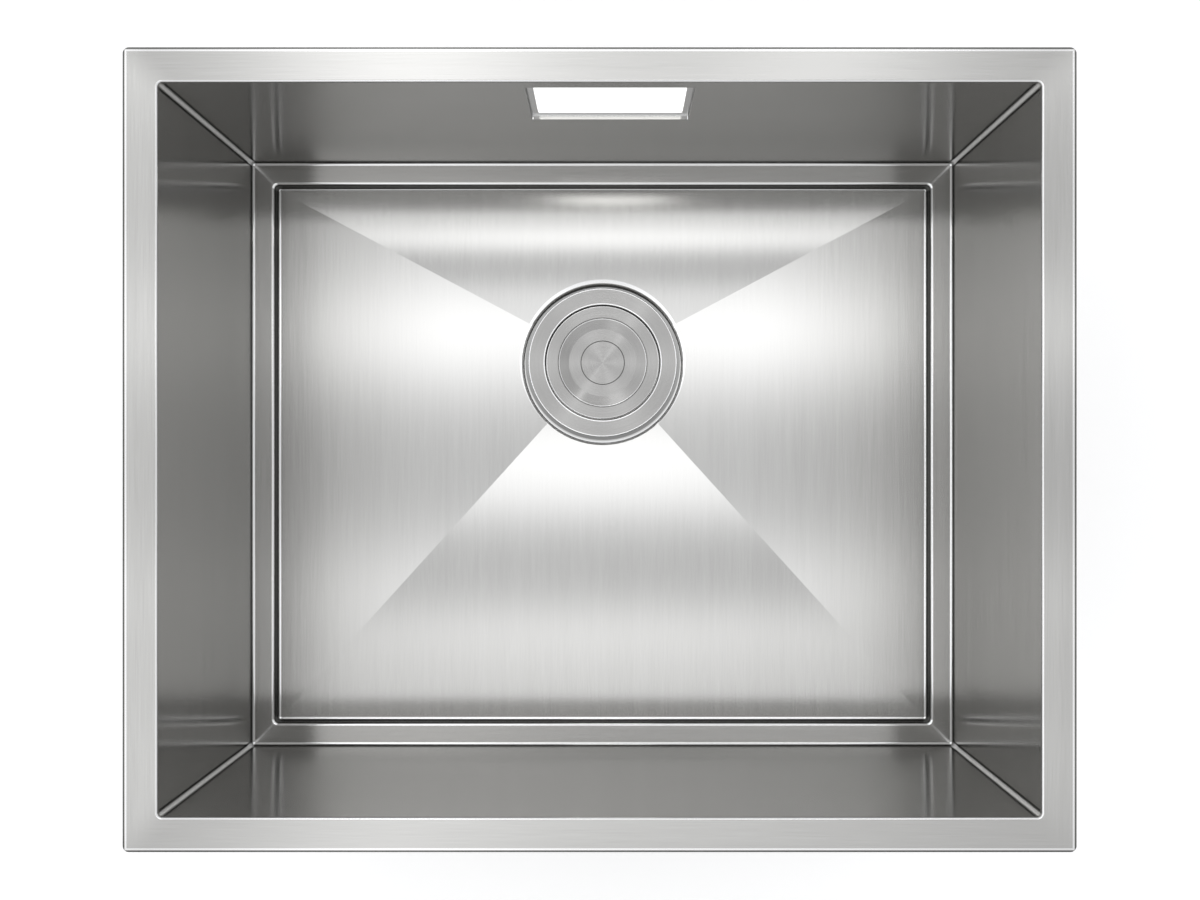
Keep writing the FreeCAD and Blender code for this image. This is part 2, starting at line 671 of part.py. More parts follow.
def make_waste_body():
    """Moulded lower half of the waste: flange, chamber, cone, hub on ribs, hose spigot."""
    body = at_drain("waste_body")
    face_hose(body)
    turn(body, "shell_turn", [
        ("body_bore", "body_top"),
        ("body_flange_radius", "body_top"),
        ("body_flange_radius", "body_top - body_flange_height"),
        ("body_bore + body_wall", "body_top - body_flange_height"),
        ("body_bore + body_wall", "cone_top"),
        ("outlet_radius", "cone_foot"),
        ("outlet_bore", "cone_foot"),
        ("body_bore", "cone_top"),
    ])
    add_ribs(body, "root_rib", "cone_foot + hub_rise", "hub_rise", "(outlet_bore + outlet_radius) / 2")
    add_ribs(body, "rib", "cone_foot", "rib_height", "outlet_bore - slide_clearance")
    turn(body, "hub_turn", [("0", "hub_floor"), ("hub_radius", "hub_floor"),
                            ("hub_radius", "cone_foot + hub_rise"), ("0", "cone_foot + hub_rise")])
    hole = new_sketch(body, "hub_hole_outline", level="cone_foot + hub_rise")
    draw_circle(hole, "0", "0", "screw_hole")
    pocket(body, "hub_hole", hole, "hub_rise + rib_height")
    nut = new_sketch(body, "nut_pocket_outline", level="hub_floor + nut_height")
    draw_circle(nut, "0", "0", "nut_radius")
    pocket(body, "nut_pocket", nut, "nut_height")

    level = "body_top - spigot_drop"
    pipe = new_sketch(body, "spigot_outline", "XZ_Plane", "0 - body_bore - body_wall / 3")
    draw_circle(pipe, "0", level, "hose_bore")
    pad(body, "spigot", pipe, "spigot_length + body_wall * 2 / 3")
    bore = new_sketch(body, "spigot_bore_outline", "XZ_Plane", "0 - body_bore + body_wall / 2")
    draw_circle(bore, "0", level, "spigot_bore")
    pocket(body, "spigot_hole", bore, "spigot_length + body_wall * 2", down=True)
    return body


def make_fixing():
    """Centre screw that pulls the cup and the waste body together, and its brass insert."""
    screw = at_drain("fixing_screw")
    turn(screw, "screw_turn", [
        ("0", "hub_floor"),
        ("screw_radius", "hub_floor"),
        ("screw_radius", "cup_floor"),
        ("screw_head_radius", "cup_floor"),
        ("screw_head_radius", "cup_floor + screw_head_height"),
        ("screw_socket_radius", "cup_floor + screw_head_height"),
        ("screw_socket_radius", "cup_floor + screw_head_height / 3"),
        ("0", "cup_floor + screw_head_height / 3"),
    ])
    nut = flat_ring("captive_nut", "screw_radius", "nut_radius", "hub_floor", "hub_floor + nut_height")
    return [screw, nut]


BASKET_ROWS = 4
BASKET_COLUMNS = 24
BASKET_FLOOR_HOLES = (10, 16, 22)


def make_basket():
    """Perforated basket that hangs on the cup's shoulder."""
    body = at_drain("basket")
    inner, floor = "basket_radius - basket_wall", "basket_floor + basket_wall"
    turn(body, "basket_turn", [
        (inner, "basket_rim_top"),
        ("basket_rim_radius", "basket_rim_top"),
        ("basket_rim_radius", "basket_rim_top - basket_rim_height"),
        ("basket_radius", "basket_rim_top - basket_rim_height"),
        ("basket_radius", "basket_floor"),
        ("guide_radius", "basket_floor"),
        ("guide_radius", floor),
        (inner, floor),
    ])
    for ring, count in enumerate(BASKET_FLOOR_HOLES):
        where = f"guide_radius + basket_first_ring + {ring} * basket_ring_pitch"
        drill_ring(body, f"floor_hole_{ring}", "basket_hole_radius", where, floor, "basket_wall * 2", count)
    sketch = new_sketch(body, "side_hole_outline", "XZ_Plane", "0 - basket_radius + basket_wall * 2")
    for row in range(BASKET_ROWS):
        level = f"basket_floor + basket_first_row + {row} * basket_row_pitch"
        draw_circle(sketch, "0", level, "basket_hole_radius")
    holes = pocket(body, "side_hole", sketch, "basket_wall * 3", down=True)
    ring_of(body, holes, BASKET_COLUMNS)
    return body


def make_guide_tube():
    """Tube set in the basket's floor, with a collar on it, that guides the lid's stem."""
    body = at_drain("guide_tube")
    floor = "basket_floor + basket_wall"
    turn(body, "guide_turn", [
        ("latch_radius", "basket_floor"),
        ("guide_radius", "basket_floor"),
        ("guide_radius", floor),
        ("guide_radius + guide_collar", floor),
        ("guide_radius + guide_collar", f"{floor} + guide_collar_height"),
        ("guide_radius", f"{floor} + guide_collar_height"),
        ("guide_radius", "guide_top"),
        ("latch_radius", "guide_top"),
    ])
    return body


def make_lid():
    """Pressed lid: flat rim, dished middle, and a hole for the press button."""
    body = at_drain("lid")
    hole = "button_radius + button_gap"
    bevel = "lid_rim_inner + lid_bevel"
    turn(body, "lid_turn", [
        (hole, "dish_top"),
        ("lid_dish_radius", "dish_top"),
        ("lid_rim_inner", "flange_top - lid_bevel"),
        (bevel, "flange_top"),
        ("lid_radius", "flange_top"),
        ("lid_radius", "flange_top - lid_skirt"),
        ("lid_radius - lid_steel", "flange_top - lid_skirt"),
        ("lid_radius - lid_steel", "flange_top - lid_steel"),
        (bevel, "flange_top - lid_steel"),
        ("lid_rim_inner", "flange_top - lid_bevel - lid_steel"),
        ("lid_dish_radius", "dish_underside"),
        (hole, "dish_underside"),
    ])
    edge = circle_edge_at(number_of("lid_radius"), number_of("flange_top"))
    round_edges(body, "lid_edge", "edge_rounding", edge)
    return body


def make_press_button():
    """Button in the middle of the lid, held in by the stop ring under the dish."""
    body = at_drain("press_button")
    underside = "dish_top - button_steel"
    stop_top = "dish_underside - slide_clearance"
    turn(body, "button_turn", [
        ("0", "dish_top"),
        ("button_radius", "dish_top"),
        ("button_radius", stop_top),
        ("button_stop_radius", stop_top),
        ("button_stop_radius", f"{stop_top} - button_stop_height"),
        ("button_radius - button_skirt", f"{stop_top} - button_stop_height"),
        ("button_radius - button_skirt", underside),
        ("button_post_radius", underside),
        ("button_post_radius", f"{underside} - button_post_length"),
        ("0", f"{underside} - button_post_length"),
    ])
    return body


def make_button_housing():
    """Cup welded under the lid that holds the button's spring."""
    body = at_drain("button_housing")
    inner = "housing_radius - housing_wall"
    turn(body, "housing_turn", [
        ("0", "housing_floor"),
        ("housing_radius", "housing_floor"),
        ("housing_radius", "dish_underside"),
        (inner, "dish_underside"),
        (inner, "housing_floor + housing_wall"),
        ("0", "housing_floor + housing_wall"),
    ])
    return body


def make_spring(name, coil, wire, low, high, turns):
    """Round-wire spring between two levels."""
    body = at_drain(name)
    sketch = new_sketch(body, name + "_wire", "XZ_Plane")
    draw_circle(sketch, coil, f"{low} + {wire}", wire)
    helix = body.newObject("PartDesign::AdditiveHelix", name + "_helix")
    helix.Profile = sketch
    helix.ReferenceAxis = (sketch, ["V_Axis"])
    helix.Mode = "height-turns-angle"
    helix.Turns = turns
    bind(helix, Height=f"{high} - ({low}) - 2 * {wire}")
    doc.recompute()
    return body


LIFT_SPRING_TURNS = 5
BUTTON_SPRING_TURNS = 4


def make_drain():
    """The waste, from the seal on the bowl's seat down to the outlet, and all that lifts out of it."""
    bottom_of_rim = "flange_top - lid_steel"
    pieces = [
        flat_ring("flange_seal", "drain_hole_radius", "flange_radius - seal_inset", "0", "seal_thickness"),
        make_strainer_cup(),
        flat_ring("waste_gasket", "body_bore", "body_flange_radius - seal_inset", "body_top", "0 - steel"),
        make_waste_body(),
        flat_ring("outlet_tail", "outlet_bore", "outlet_radius", "outlet_end", "cone_foot"),
        *make_fixing(),
        make_basket(),
        make_guide_tube(),
        flat_ring("basket_seal", "cup_lower_bore + slide_clearance", "basket_rim_radius",
                  "shoulder", "shoulder + basket_seal_height"),
        flat_ring("latch_sleeve", "stem_radius + slide_clearance", "latch_radius", "basket_floor", "guide_top"),
        make_lid(),
        flat_ring("lid_seal", "lid_rim_inner + lid_bevel + slide_clearance", "lid_radius - lid_steel",
                  "basket_rim_top + slide_clearance", bottom_of_rim),
        make_button_housing(),
        flat_ring("lid_stem", "0", "stem_radius", "housing_floor - stem_length", "housing_floor"),
        make_spring("lift_spring", "spring_coil", "spring_wire", "guide_top", "housing_floor",
                    LIFT_SPRING_TURNS),
        make_press_button(),
        make_spring("button_spring", "button_spring_coil", "button_spring_wire",
                    "(housing_floor + housing_wall)", "(dish_top - button_steel)", BUTTON_SPRING_TURNS),
    ]
    return pieces


STUD_PLACES = ((-1, -1), (1, -1), (1, 1), (-1, 1))


def make_collector():
    """Moulded box behind the overflow, with fixing lugs and a spigot for the hose."""
    body = new_body("overflow_collector", x="overflow_right", z="overflow_middle")
    half_x, half_z = "collector_length / 2", "collector_height / 2"
    outline = new_sketch(body, "box_outline", "XZ_Plane", "0 - collector_face")
    draw_rectangle(outline, f"0 - {half_x}", half_x, f"0 - {half_z}", half_z)
    pad(body, "box", outline, "collector_depth")
    lugs = new_sketch(body, "lug_outline", "XZ_Plane", "0 - collector_face")
    reach, rise = f"({half_x} + lug_length)", "lug_height / 2"
    draw_rectangle(lugs, f"0 - {reach}", reach, f"0 - {rise}", rise)
    pad(body, "lugs", lugs, "lug_thickness")
    spigot = new_sketch(body, "spigot_outline", level=f"0 - {half_z}")
    draw_circle(spigot, "0 - spigot_left", "hose_back", "hose_bore")
    pad(body, "spigot", spigot, "spigot_length")
    inside = new_sketch(body, "box_cut_outline", "XZ_Plane", "0 - collector_face")
    draw_rectangle(inside, f"collector_wall - {half_x}", f"{half_x} - collector_wall",
                   f"collector_wall - {half_z}", f"{half_z} - collector_wall")
    pocket(body, "box_cut", inside, "collector_depth - collector_wall", down=True)
    bore = new_sketch(body, "spigot_bore_outline", level=f"collector_wall * 2 - {half_z}")
    draw_circle(bore, "0 - spigot_left", "hose_back", "spigot_bore")
    pocket(body, "spigot_hole", bore, "spigot_length + collector_wall * 3")
    holes = new_sketch(body, "lug_hole_outline", "XZ_Plane", "0 - collector_face")
    for across, up in STUD_PLACES:
        draw_circle(holes, f"{across} * lug_middle", f"{up} * stud_height", "stud_radius + stud_clearance")
    pocket(body, "lug_holes", holes, "lug_thickness * 2", down=True)
    return body


def make_studs():
    """Four studs welded to the back wall, and their nuts."""
    studs, nuts = [], []
    for number, (across, up) in enumerate(STUD_PLACES):
        x = f"overflow_right + {across} * lug_middle"
        z = f"overflow_middle + {up} * stud_height"
        studs.append(rod(f"stud_{number}", "stud_radius", "stud_length", (x, "back_face", z), "Y"))
        nut = doc.addObject("Part::Prism", f"nut_blank_{number}")
        nut.Polygon = 6
        nut.Placement = FreeCAD.Placement(FreeCAD.Vector(), FreeCAD.Rotation(FreeCAD.Vector(1, 0, 0), -90))
        seat = "collector_face + lug_thickness"
        bind(nut, Circumradius="stud_nut_radius", Height="stud_nut_height", Placement__Base__x=x,
             Placement__Base__y=seat, Placement__Base__z=z)
        bore = rod(f"nut_bore_{number}", "stud_radius", "stud_nut_height", (x, seat, z), "Y")
        nuts.append(cut(f"nut_{number}", nut, bore))
    return [group("overflow_studs", studs), group("overflow_nuts", nuts)]


def make_overflow_gasket():
    """Flat frame between the back wall and the collector."""
    body = new_body("overflow_gasket", x="overflow_right", z="overflow_middle")
    outline = new_sketch(body, "gasket_outline", "XZ_Plane", "0 - back_face")
    draw_rectangle(outline, "0 - collector_length / 2", "collector_length / 2",
                   "0 - collector_height / 2", "collector_height / 2")
    pad(body, "gasket", outline, "collector_gasket")
    inside = new_sketch(body, "gasket_cut_outline", "XZ_Plane", "0 - back_face")
    draw_rectangle(inside, "0 - boss_half_length", "boss_half_length",
                   "0 - boss_half_height", "boss_half_height")
    pocket(body, "gasket_cut", inside, "collector_gasket * 2", down=True)
    return body


def make_hose():
    """Hose from the collector down the back wall and round under the bowl to the waste body."""
    body = new_body("overflow_hose", y="drain_back")
    face_hose(body)
    section = new_sketch(body, "hose_section", level="hose_top")
    draw_circle(section, "0", "hose_reach", "hose_radius")
    draw_circle(section, "0", "hose_reach", "hose_bore")
    route = new_sketch(body, "hose_route", "YZ_Plane")
    bend_top, bend_end = "spigot_level + hose_bend", "hose_reach - hose_bend"
    spots = [("hose_reach", "hose_top"), ("hose_reach", bend_top), (bend_end, "spigot_level"),
             ("hose_end", "spigot_level")]
    start, high, low, end = [FreeCAD.Vector(number_of(x), number_of(y), 0) for x, y in spots]
    bend = number_of("hose_bend")
    middle = FreeCAD.Vector(low.x, high.y, 0)
    knee = middle + FreeCAD.Vector(bend, -bend, 0) * 0.5 ** 0.5
    route.addGeometry(Part.LineSegment(start, high), False)
    route.addGeometry(Part.Arc(low, knee, high), False)
    route.addGeometry(Part.LineSegment(low, end), False)
    route.addConstraint(Sketcher.Constraint("Coincident", 0, 2, 1, 2))
    route.addConstraint(Sketcher.Constraint("Coincident", 1, 1, 2, 1))
    for line, end_number, spot in ((0, 1, spots[0]), (0, 2, spots[1]), (2, 1, spots[2]), (2, 2, spots[3])):
        pin_point(route, line, end_number, *spot)
    row = route.addConstraint(Sketcher.Constraint("Radius", 1, bend))
    route.setExpression(f"Constraints[{row}]", expand("hose_bend"))
    doc.recompute()
    pipe = body.newObject("PartDesign::AdditivePipe", "hose_pipe")
    pipe.Profile = section
    pipe.Spine = (route, ["Edge1", "Edge2", "Edge3"])
    pipe.Mode = "Frenet"
    doc.recompute()
    return body


def make_hose_clips():
    """Two clips, one round each end of the hose."""
    top, lower = new_body("upper_clip", y="drain_back"), new_body("lower_clip", y="drain_back")
    face_hose(top)
    face_hose(lower)
    outer = "hose_radius + clip_wall"
    ring = new_sketch(top, "upper_clip_outline", level="hose_top - clip_inset")
    draw_circle(ring, "0", "hose_reach", outer)
    draw_circle(ring, "0", "hose_reach", "hose_radius")
    pad(top, "upper_clip_ring", ring, "clip_width")
    ring = new_sketch(lower, "lower_clip_outline", "XZ_Plane", "0 - hose_end - clip_inset")
    draw_circle(ring, "0", "spigot_level", outer)
    draw_circle(ring, "0", "spigot_level", "hose_radius")
    pad(lower, "lower_clip_ring", ring, "clip_width")
    return group("hose_clips", [top, lower])


def make_overflow():
    return [make_overflow_gasket(), make_collector(), *make_studs(), make_hose(), make_hose_clips()]


nodes = [make_bowl(), *make_wall_pads(), *make_floor_pads(), *make_drain(), *make_overflow()]
doc.recompute()

for thing in doc.Objects:
    if "Invalid" in thing.State or "Error" in thing.State:
        raise ValueError(f"{thing.Label} failed: {thing.State}")
for node in nodes:
    if node.Shape.isNull() or not node.Shape.isValid():
        raise ValueError(f"{node.Label} has no valid shape")

os.makedirs("parts", exist_ok=True)
for node in nodes:
    node.Shape.exportStep(f"parts/{node.Label}.step")
    box = node.Shape.BoundBox
    print(f"{node.Label:20} {len(node.Shape.Solids)} solid {node.Shape.Volume / 1000:9.2f} cm3"
          f"  x {box.XMin:7.1f} {box.XMax:7.1f}  y {box.YMin:7.1f} {box.YMax:7.1f}"
          f"  z {box.ZMin:7.1f} {box.ZMax:7.1f}")
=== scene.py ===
# %% [markdown]
# # An undermount kitchen sink, dressed round its CAD frame
#
# The sink is folded from sheet steel, welded at its corners and brushed all over.  Its basket
# waste is spun from the same steel.  The CAD frame already has every piece at its real size, so
# Blender's work is the finish: the direction of the grain, the soft light that shows it, and the
# small details that a machine would leave behind.

import math

import bpy
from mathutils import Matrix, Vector


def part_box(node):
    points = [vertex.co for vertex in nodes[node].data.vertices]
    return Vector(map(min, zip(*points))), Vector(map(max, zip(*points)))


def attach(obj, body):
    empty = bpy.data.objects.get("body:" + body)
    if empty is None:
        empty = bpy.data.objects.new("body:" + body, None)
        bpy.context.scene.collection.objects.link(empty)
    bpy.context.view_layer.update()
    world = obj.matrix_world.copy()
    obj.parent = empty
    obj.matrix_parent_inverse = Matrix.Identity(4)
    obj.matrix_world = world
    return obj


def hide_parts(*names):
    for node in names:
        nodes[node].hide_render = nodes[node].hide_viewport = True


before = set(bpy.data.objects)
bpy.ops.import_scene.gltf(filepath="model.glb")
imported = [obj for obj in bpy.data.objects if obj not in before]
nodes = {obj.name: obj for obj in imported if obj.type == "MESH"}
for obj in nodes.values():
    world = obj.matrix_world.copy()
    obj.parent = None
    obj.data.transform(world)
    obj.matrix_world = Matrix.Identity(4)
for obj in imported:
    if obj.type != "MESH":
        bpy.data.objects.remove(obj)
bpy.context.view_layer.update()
for thing in bpy.context.selected_objects:
    thing.select_set(False)

# %% [markdown]
# ## The camera
#
# The photograph looks straight down into the bowl from about 0.7 m above the rim.  The rim is
# larger on the picture than the floor by the ratio of their distances, and that ratio is what
# gives the camera's height.  The lens is slid a little in its mount (shift) because the point
# straight below the camera isn't the middle of the picture.

# %% Camera straight above the bowl
CAMERA_HEIGHT = 0.724
PHOTO_WIDTH, PHOTO_HEIGHT = 1200, 900
PIXELS_PER_METRE_AT_RIM = 1734.5
STRAIGHT_DOWN = (613.4, 470.4)
EYE_RIGHT, EYE_BACK = 0.00796, -0.01193

lens_data = bpy.data.cameras.new("camera")
lens_data.sensor_width = 36.0
lens_data.lens = lens_data.sensor_width * PIXELS_PER_METRE_AT_RIM * CAMERA_HEIGHT / PHOTO_WIDTH
lens_data.shift_x = (PHOTO_WIDTH / 2 - STRAIGHT_DOWN[0]) / PHOTO_WIDTH
lens_data.shift_y = (STRAIGHT_DOWN[1] - PHOTO_HEIGHT / 2) / PHOTO_WIDTH
lens_data.clip_start = 0.05
camera = bpy.data.objects.new("camera", lens_data)
camera.location = (EYE_RIGHT, EYE_BACK, CAMERA_HEIGHT)
bpy.context.scene.collection.objects.link(camera)
bpy.context.scene.camera = camera
print("lens", round(lens_data.lens, 2), "mm, shift", round(lens_data.shift_x, 4), round(lens_data.shift_y, 4))

# %% [markdown]
# ## A small language for finishes
#
# Brushed steel is a few sums over the surface: how far a point is from a fold, which way the
# grain runs there, how the streaks vary.  Clicking such sums together node by node is slow to
# read, so one class wraps a socket and lets Python's own + - * / add the Math nodes.  Another
# class holds a material and adds any other node through one method.

# %% Sockets with arithmetic
class Field:
    """A number, vector or colour that changes over a surface: one socket of a node tree."""

    def __init__(self, finish, socket):
        self.finish = finish
        self.socket = socket

    def math(self, operation, *values):
        inputs = dict(enumerate(values))
        return self.finish.add("ShaderNodeMath", {"operation": operation}, inputs)

    def __add__(self, other):
        return self.math("ADD", self, other)

    __radd__ = __add__

    def __sub__(self, other):
        return self.math("SUBTRACT", self, other)

    def __rsub__(self, other):
        return self.math("SUBTRACT", other, self)

    def __mul__(self, other):
        return self.math("MULTIPLY", self, other)

    __rmul__ = __mul__

    def __truediv__(self, other):
        return self.math("DIVIDE", self, other)

    def __abs__(self):
        return self.math("ABSOLUTE", self)

    def root(self):
        return self.math("SQRT", self)

    def at_least(self, other):
        """The larger of the two."""
        return self.math("MAXIMUM", self, other)

    def above(self, level, width):
        """0 below the level, 1 above it, with a soft step of the given width."""
        low, high = level - width / 2, level + width / 2
        settings = {"interpolation_type": "SMOOTHSTEP"}
        return self.finish.add("ShaderNodeMapRange", settings, {0: self, 1: low, 2: high, 3: 0, 4: 1})

    def below(self, level, width):
        return 1 - self.above(level, width)

    def line(self, level, width):
        """1 on a thin line where the field has this value, 0 away from it."""
        return abs(self - level).below(width / 2, width / 2)


# %% Materials with one method for nodes
class Finish:
    """A material under construction."""

    def __init__(self, name):
        self.material = bpy.data.materials.new(name)
        self.material.use_nodes = True
        self.tree = self.material.node_tree
        self.tree.nodes.clear()
        self.output = self.tree.nodes.new("ShaderNodeOutputMaterial")

    def add(self, kind, settings=None, inputs=None, out=0):
        """Add a node, make its settings, fill or link its sockets, and give back its output."""
        node = self.tree.nodes.new(kind)
        for name, value in (settings or {}).items():
            if name == "stops":
                while len(node.color_ramp.elements) < len(value):
                    node.color_ramp.elements.new(0.5)
                for element, (position, colour) in zip(node.color_ramp.elements, value):
                    element.position, element.color = position, colour
            else:
                setattr(node, name, value)
        for name, value in (inputs or {}).items():
            if isinstance(value, Field):
                self.tree.links.new(value.socket, node.inputs[name])
            else:
                node.inputs[name].default_value = value
        if isinstance(out, tuple):
            return tuple(Field(self, node.outputs[name]) for name in out)
        return Field(self, node.outputs[out])

    def position(self):
        """Where the point is on the object, in metres, as x, y and z."""
        point = self.add("ShaderNodeTexCoord", out="Object")
        return self.add("ShaderNodeSeparateXYZ", inputs={0: point}, out=(0, 1, 2))

    def vector(self, x, y, z):
        return self.add("ShaderNodeCombineXYZ", inputs={0: x, 1: y, 2: z})

    def noise(self, vector, scale=1.0, detail=2.0, roughness=0.5):
        inputs = {"Vector": vector, "Scale": scale, "Detail": detail, "Roughness": roughness}
        return self.add("ShaderNodeTexNoise", inputs=inputs, out="Fac")

    def blend(self, factor, first, second):
        """From one colour to the other; a colour may itself vary over the surface."""
        inputs = {0: factor, 6: first, 7: second}
        return self.add("ShaderNodeMix", {"data_type": "RGBA"}, inputs, out=2)

    def tint(self, factor, dark, light):
        """A colour between two plain colours."""
        return self.blend(factor, (*dark, 1), (*light, 1))

    def bump(self, height, distance, strength=1.0, normal=None):
        inputs = {"Height": height, "Distance": distance, "Strength": strength}
        if normal:
            inputs["Normal"] = normal
        return self.add("ShaderNodeBump", inputs=inputs)

    def surface(self, **inputs):
        """A Principled shader; names are written with underscores for spaces."""
        named = {name.replace("_", " "): value for name, value in inputs.items()}
        return self.add("ShaderNodeBsdfPrincipled", inputs=named)

    def mix(self, factor, first, second):
        return self.add("ShaderNodeMixShader", inputs={0: factor, 1: first, 2: second})

    def done(self, shader):
        self.tree.links.new(shader.socket, self.output.inputs["Surface"])
        return self.material


def dress(material, *names):
    """Give a material to CAD nodes."""
    for name in names:
        slots = nodes[name].material_slots
        for slot in slots:
            slot.material = material
        print(name, "wears", material.name, "on", len(slots), "slot")


# %% [markdown]
# ## Brushed sheet steel
#
# A belt sander runs along each strip of the folded sheet, so the grain follows the strip: along
# the front and back of the rim it runs left to right, along the sides front to back, round the
# walls level, and over the whole floor front to back.  A scratch spreads light across itself,
# which is what makes brushed steel look stretched.  The Principled shader does that with its
# anisotropy, and needs to be told the direction: circles about the three axes give three plain
# directions, and masks made from the position choose between them.  The rim's corners have no
# sharp mitre in the photograph, so there the two directions fade into each other.

# %% Where the strips meet
HALF_LENGTH, HALF_WIDTH = 0.255, 0.212
RIM_LENGTH, RIM_WIDTH = 0.275, 0.232
RIM_DEPTH = -0.0004
LEDGE = -0.190
FLOOR_TOP = -0.1975
FLOOR_EDGE = -0.200
FLOOR_FALL = 0.006
MITRE = HALF_LENGTH - HALF_WIDTH
DRAIN_BACK = 0.068
print("half the bowl is", round(MITRE * 1000), "mm longer than it is wide")


def steel_streaks(finish, along, across, third):
    """Fine scratches: long along the grain, narrow across it, with broader bands behind them."""
    fine = finish.noise(finish.vector(along * 30, across * 1500, third * 1500), detail=3.0)
    broad = finish.noise(finish.vector(along * 4, across * 160, third * 160), detail=2.0)
    return fine, broad


def drain_distance(x, y):
    """How far a point is from the drain's axis."""
    back = y - DRAIN_BACK
    return (x * x + back * back).root()


# %% [markdown]
# A pressed floor isn't a pyramid with plain sides: it leaves its folds almost level and grows
# steeper towards the drain, as a cloth would hang.  The solid has plain slopes, so the normals are
# stretched sideways by a factor that grows on the way down.  The short back slope starts level,
# the three others at half their lean.

# %% The floor's drape
START_STRETCH = 0.5
DRAIN_STRETCH = 2.2
BACK_SLOPE_LEAN = -0.05
STEEPENS_AT, STEEPENS_OVER = 0.375, 0.55


def draped(finish, z, normal, ny, on_floor):
    """Normals of slopes that start level at the folds and steepen towards the drain."""
    way_down = (FLOOR_EDGE - z) * (1 / FLOOR_FALL)
    at_edge = START_STRETCH * ny.above(BACK_SLOPE_LEAN, 0.01)
    steeper = at_edge + (DRAIN_STRETCH - at_edge) * way_down.above(STEEPENS_AT, STEEPENS_OVER)
    steeper = steeper * on_floor + (1 - on_floor)
    scale = finish.vector(steeper, steeper, 1.0)
    tilted = finish.add("ShaderNodeVectorMath", {"operation": "MULTIPLY"}, {0: normal, 1: scale})
    return finish.add("ShaderNodeVectorMath", {"operation": "NORMALIZE"}, {0: tilted})


# %% [markdown]
# The photograph draws every fold with a thin bright line and a dark one beside it.  Most of that
# is reflection in the small radius of the bend and shade beside it, which this light shows too
# faintly, so both are painted into the colour: painted highlights on the folds, the seat's lip, the
# ground seams, the ledge's mitres, the eased rim and the overflow's frame, painted shade at the
# wall's foot, beside the seams, in the gap round the drain flange and along the cut edge, and a
# little painted sheen on the floor towards the drain.  The lines are placed by position on the
# sheet's inner side.  The price is that they stay put when the camera or the light moves.

# %% Painted highlights and painted shade along folds, seams and edges
# Colours of the painted shade and the painted highlights.
PAINTED_SHADE_COLOUR = (0.12, 0.12, 0.115, 1)
PAINTED_HIGHLIGHT_COLOUR = (1.0, 1.0, 1.0, 1)
SEAT_EDGE = 0.0574
SEAT_LIP = SEAT_EDGE + 0.0022
CLEAR_OF_SEAT = 0.08
SEAM_LINE, SEAM_SHADE = 0.0022, 0.0032
CUT_EDGE, EASED_EDGE = -0.0002, -0.0017
THIN_LINE = 0.0014
MITRE_LINE = 0.0022
LIP_LINE = 0.0026
FOLD_STEEPEST, FOLD_FLATTEST = 0.60, 0.975


def painted_shade(x, y, z, upright, from_corner, from_edge, on_rim):
    """Painted shade at the wall's foot, on both sides of a seam and along the cut edge, and painted shadow in
    the gap round the drain flange.
    """
    from_drain = drain_distance(x, y)
    # Painted shade low on the walls, just above the ledge.
    shade_at_wall_foot = upright * z.below(LEDGE + 0.004, 0.008) * from_drain.above(CLEAR_OF_SEAT, 0.01)
    # Painted shadow in the gap round the drain flange.
    seat_gap_shadow = from_drain.below(SEAT_EDGE, 0.0006)
    # Painted shade on both sides of a corner seam.
    shade_beside_seam = upright * from_corner.line(SEAM_SHADE, THIN_LINE)
    # Painted shade along the rim's cut edge.
    cut_edge = on_rim * from_edge.line(CUT_EDGE, THIN_LINE)
    return (shade_at_wall_foot + seat_gap_shadow).at_least(shade_beside_seam).at_least(cut_edge)


def painted_highlights(x, y, z, nz, upright, from_corner, from_edge, on_rim):
    """Painted highlights on folds, the seat's lip, seams, mitres, the eased rim and the overflow's frame, and
    painted sheen on the floor towards the drain.
    """
    from_drain = drain_distance(x, y)
    bent = nz.above(FOLD_STEEPEST, 0.2) * nz.below(FOLD_FLATTEST, 0.02)
    # Painted highlights in the bends of the folds and on the seat's lip.
    fold = bent * from_drain.above(CLEAR_OF_SEAT, 0.01) + from_drain.line(SEAT_LIP, LIP_LINE)
    seam = upright * from_corner.below(SEAM_LINE, 0.0006)
    on_ledge = nz.above(0.98, 0.01) * abs(z - LEDGE).below(0.0004, 0.0002)
    mitre = on_ledge * (abs(x) - abs(y)).line(MITRE, MITRE_LINE)
    eased = on_rim * from_edge.line(EASED_EDGE, 0.0010)
    # Painted highlight on the overflow's frame.
    overflow_frame_highlight = y.above(HALF_WIDTH + 0.002, 0.001) * z.below(-0.006, 0.004)
    # Painted sheen: the floor below its folds, towards the drain, is made a little brighter.
    floor_sheen_near_drain = (FLOOR_EDGE - z).above(0.002, 0.003) * nz.above(0.97, 0.01)
    return fold + seam * 0.5 + mitre * 0.5 + eased + overflow_frame_highlight * 0.8 + floor_sheen_near_drain * 0.2


def with_painted_light(finish, colour, x, y, z, nx, ny, nz):
    """The steel's colour with painted shade and painted highlights laid over it."""
    inside = (nx * x + ny * y - nz * 0.5).below(0.0, 0.05)
    upright = nz.below(0.7, 0.15) * z.below(-0.003, 0.002)
    from_corner = (HALF_LENGTH - abs(x)) + (HALF_WIDTH - abs(y))
    from_edge = (abs(x) - RIM_LENGTH).at_least(abs(y) - RIM_WIDTH)
    on_rim = z.above(RIM_DEPTH, 0.0002)
    dark = painted_shade(x, y, z, upright, from_corner, from_edge, on_rim)
    bright = painted_highlights(x, y, z, nz, upright, from_corner, from_edge, on_rim)
    # The painted shade goes on first, then the painted highlights, both on the sheet's inner side only.
    return finish.blend(bright * inside, finish.blend(dark * inside, colour, PAINTED_SHADE_COLOUR), PAINTED_HIGHLIGHT_COLOUR)


# %% [markdown]
# The sheet's material puts this together.  Its three shaders share one colour, roughness and
# relief and differ only in the direction of their scratches, which stays a plain value in each.
# The masks decide how much of each a point gets.

# %% The sheet's material
GLANCING = (0.5, 0.5, 0.5, 1)
RIM_CORNER_FADE = 0.03


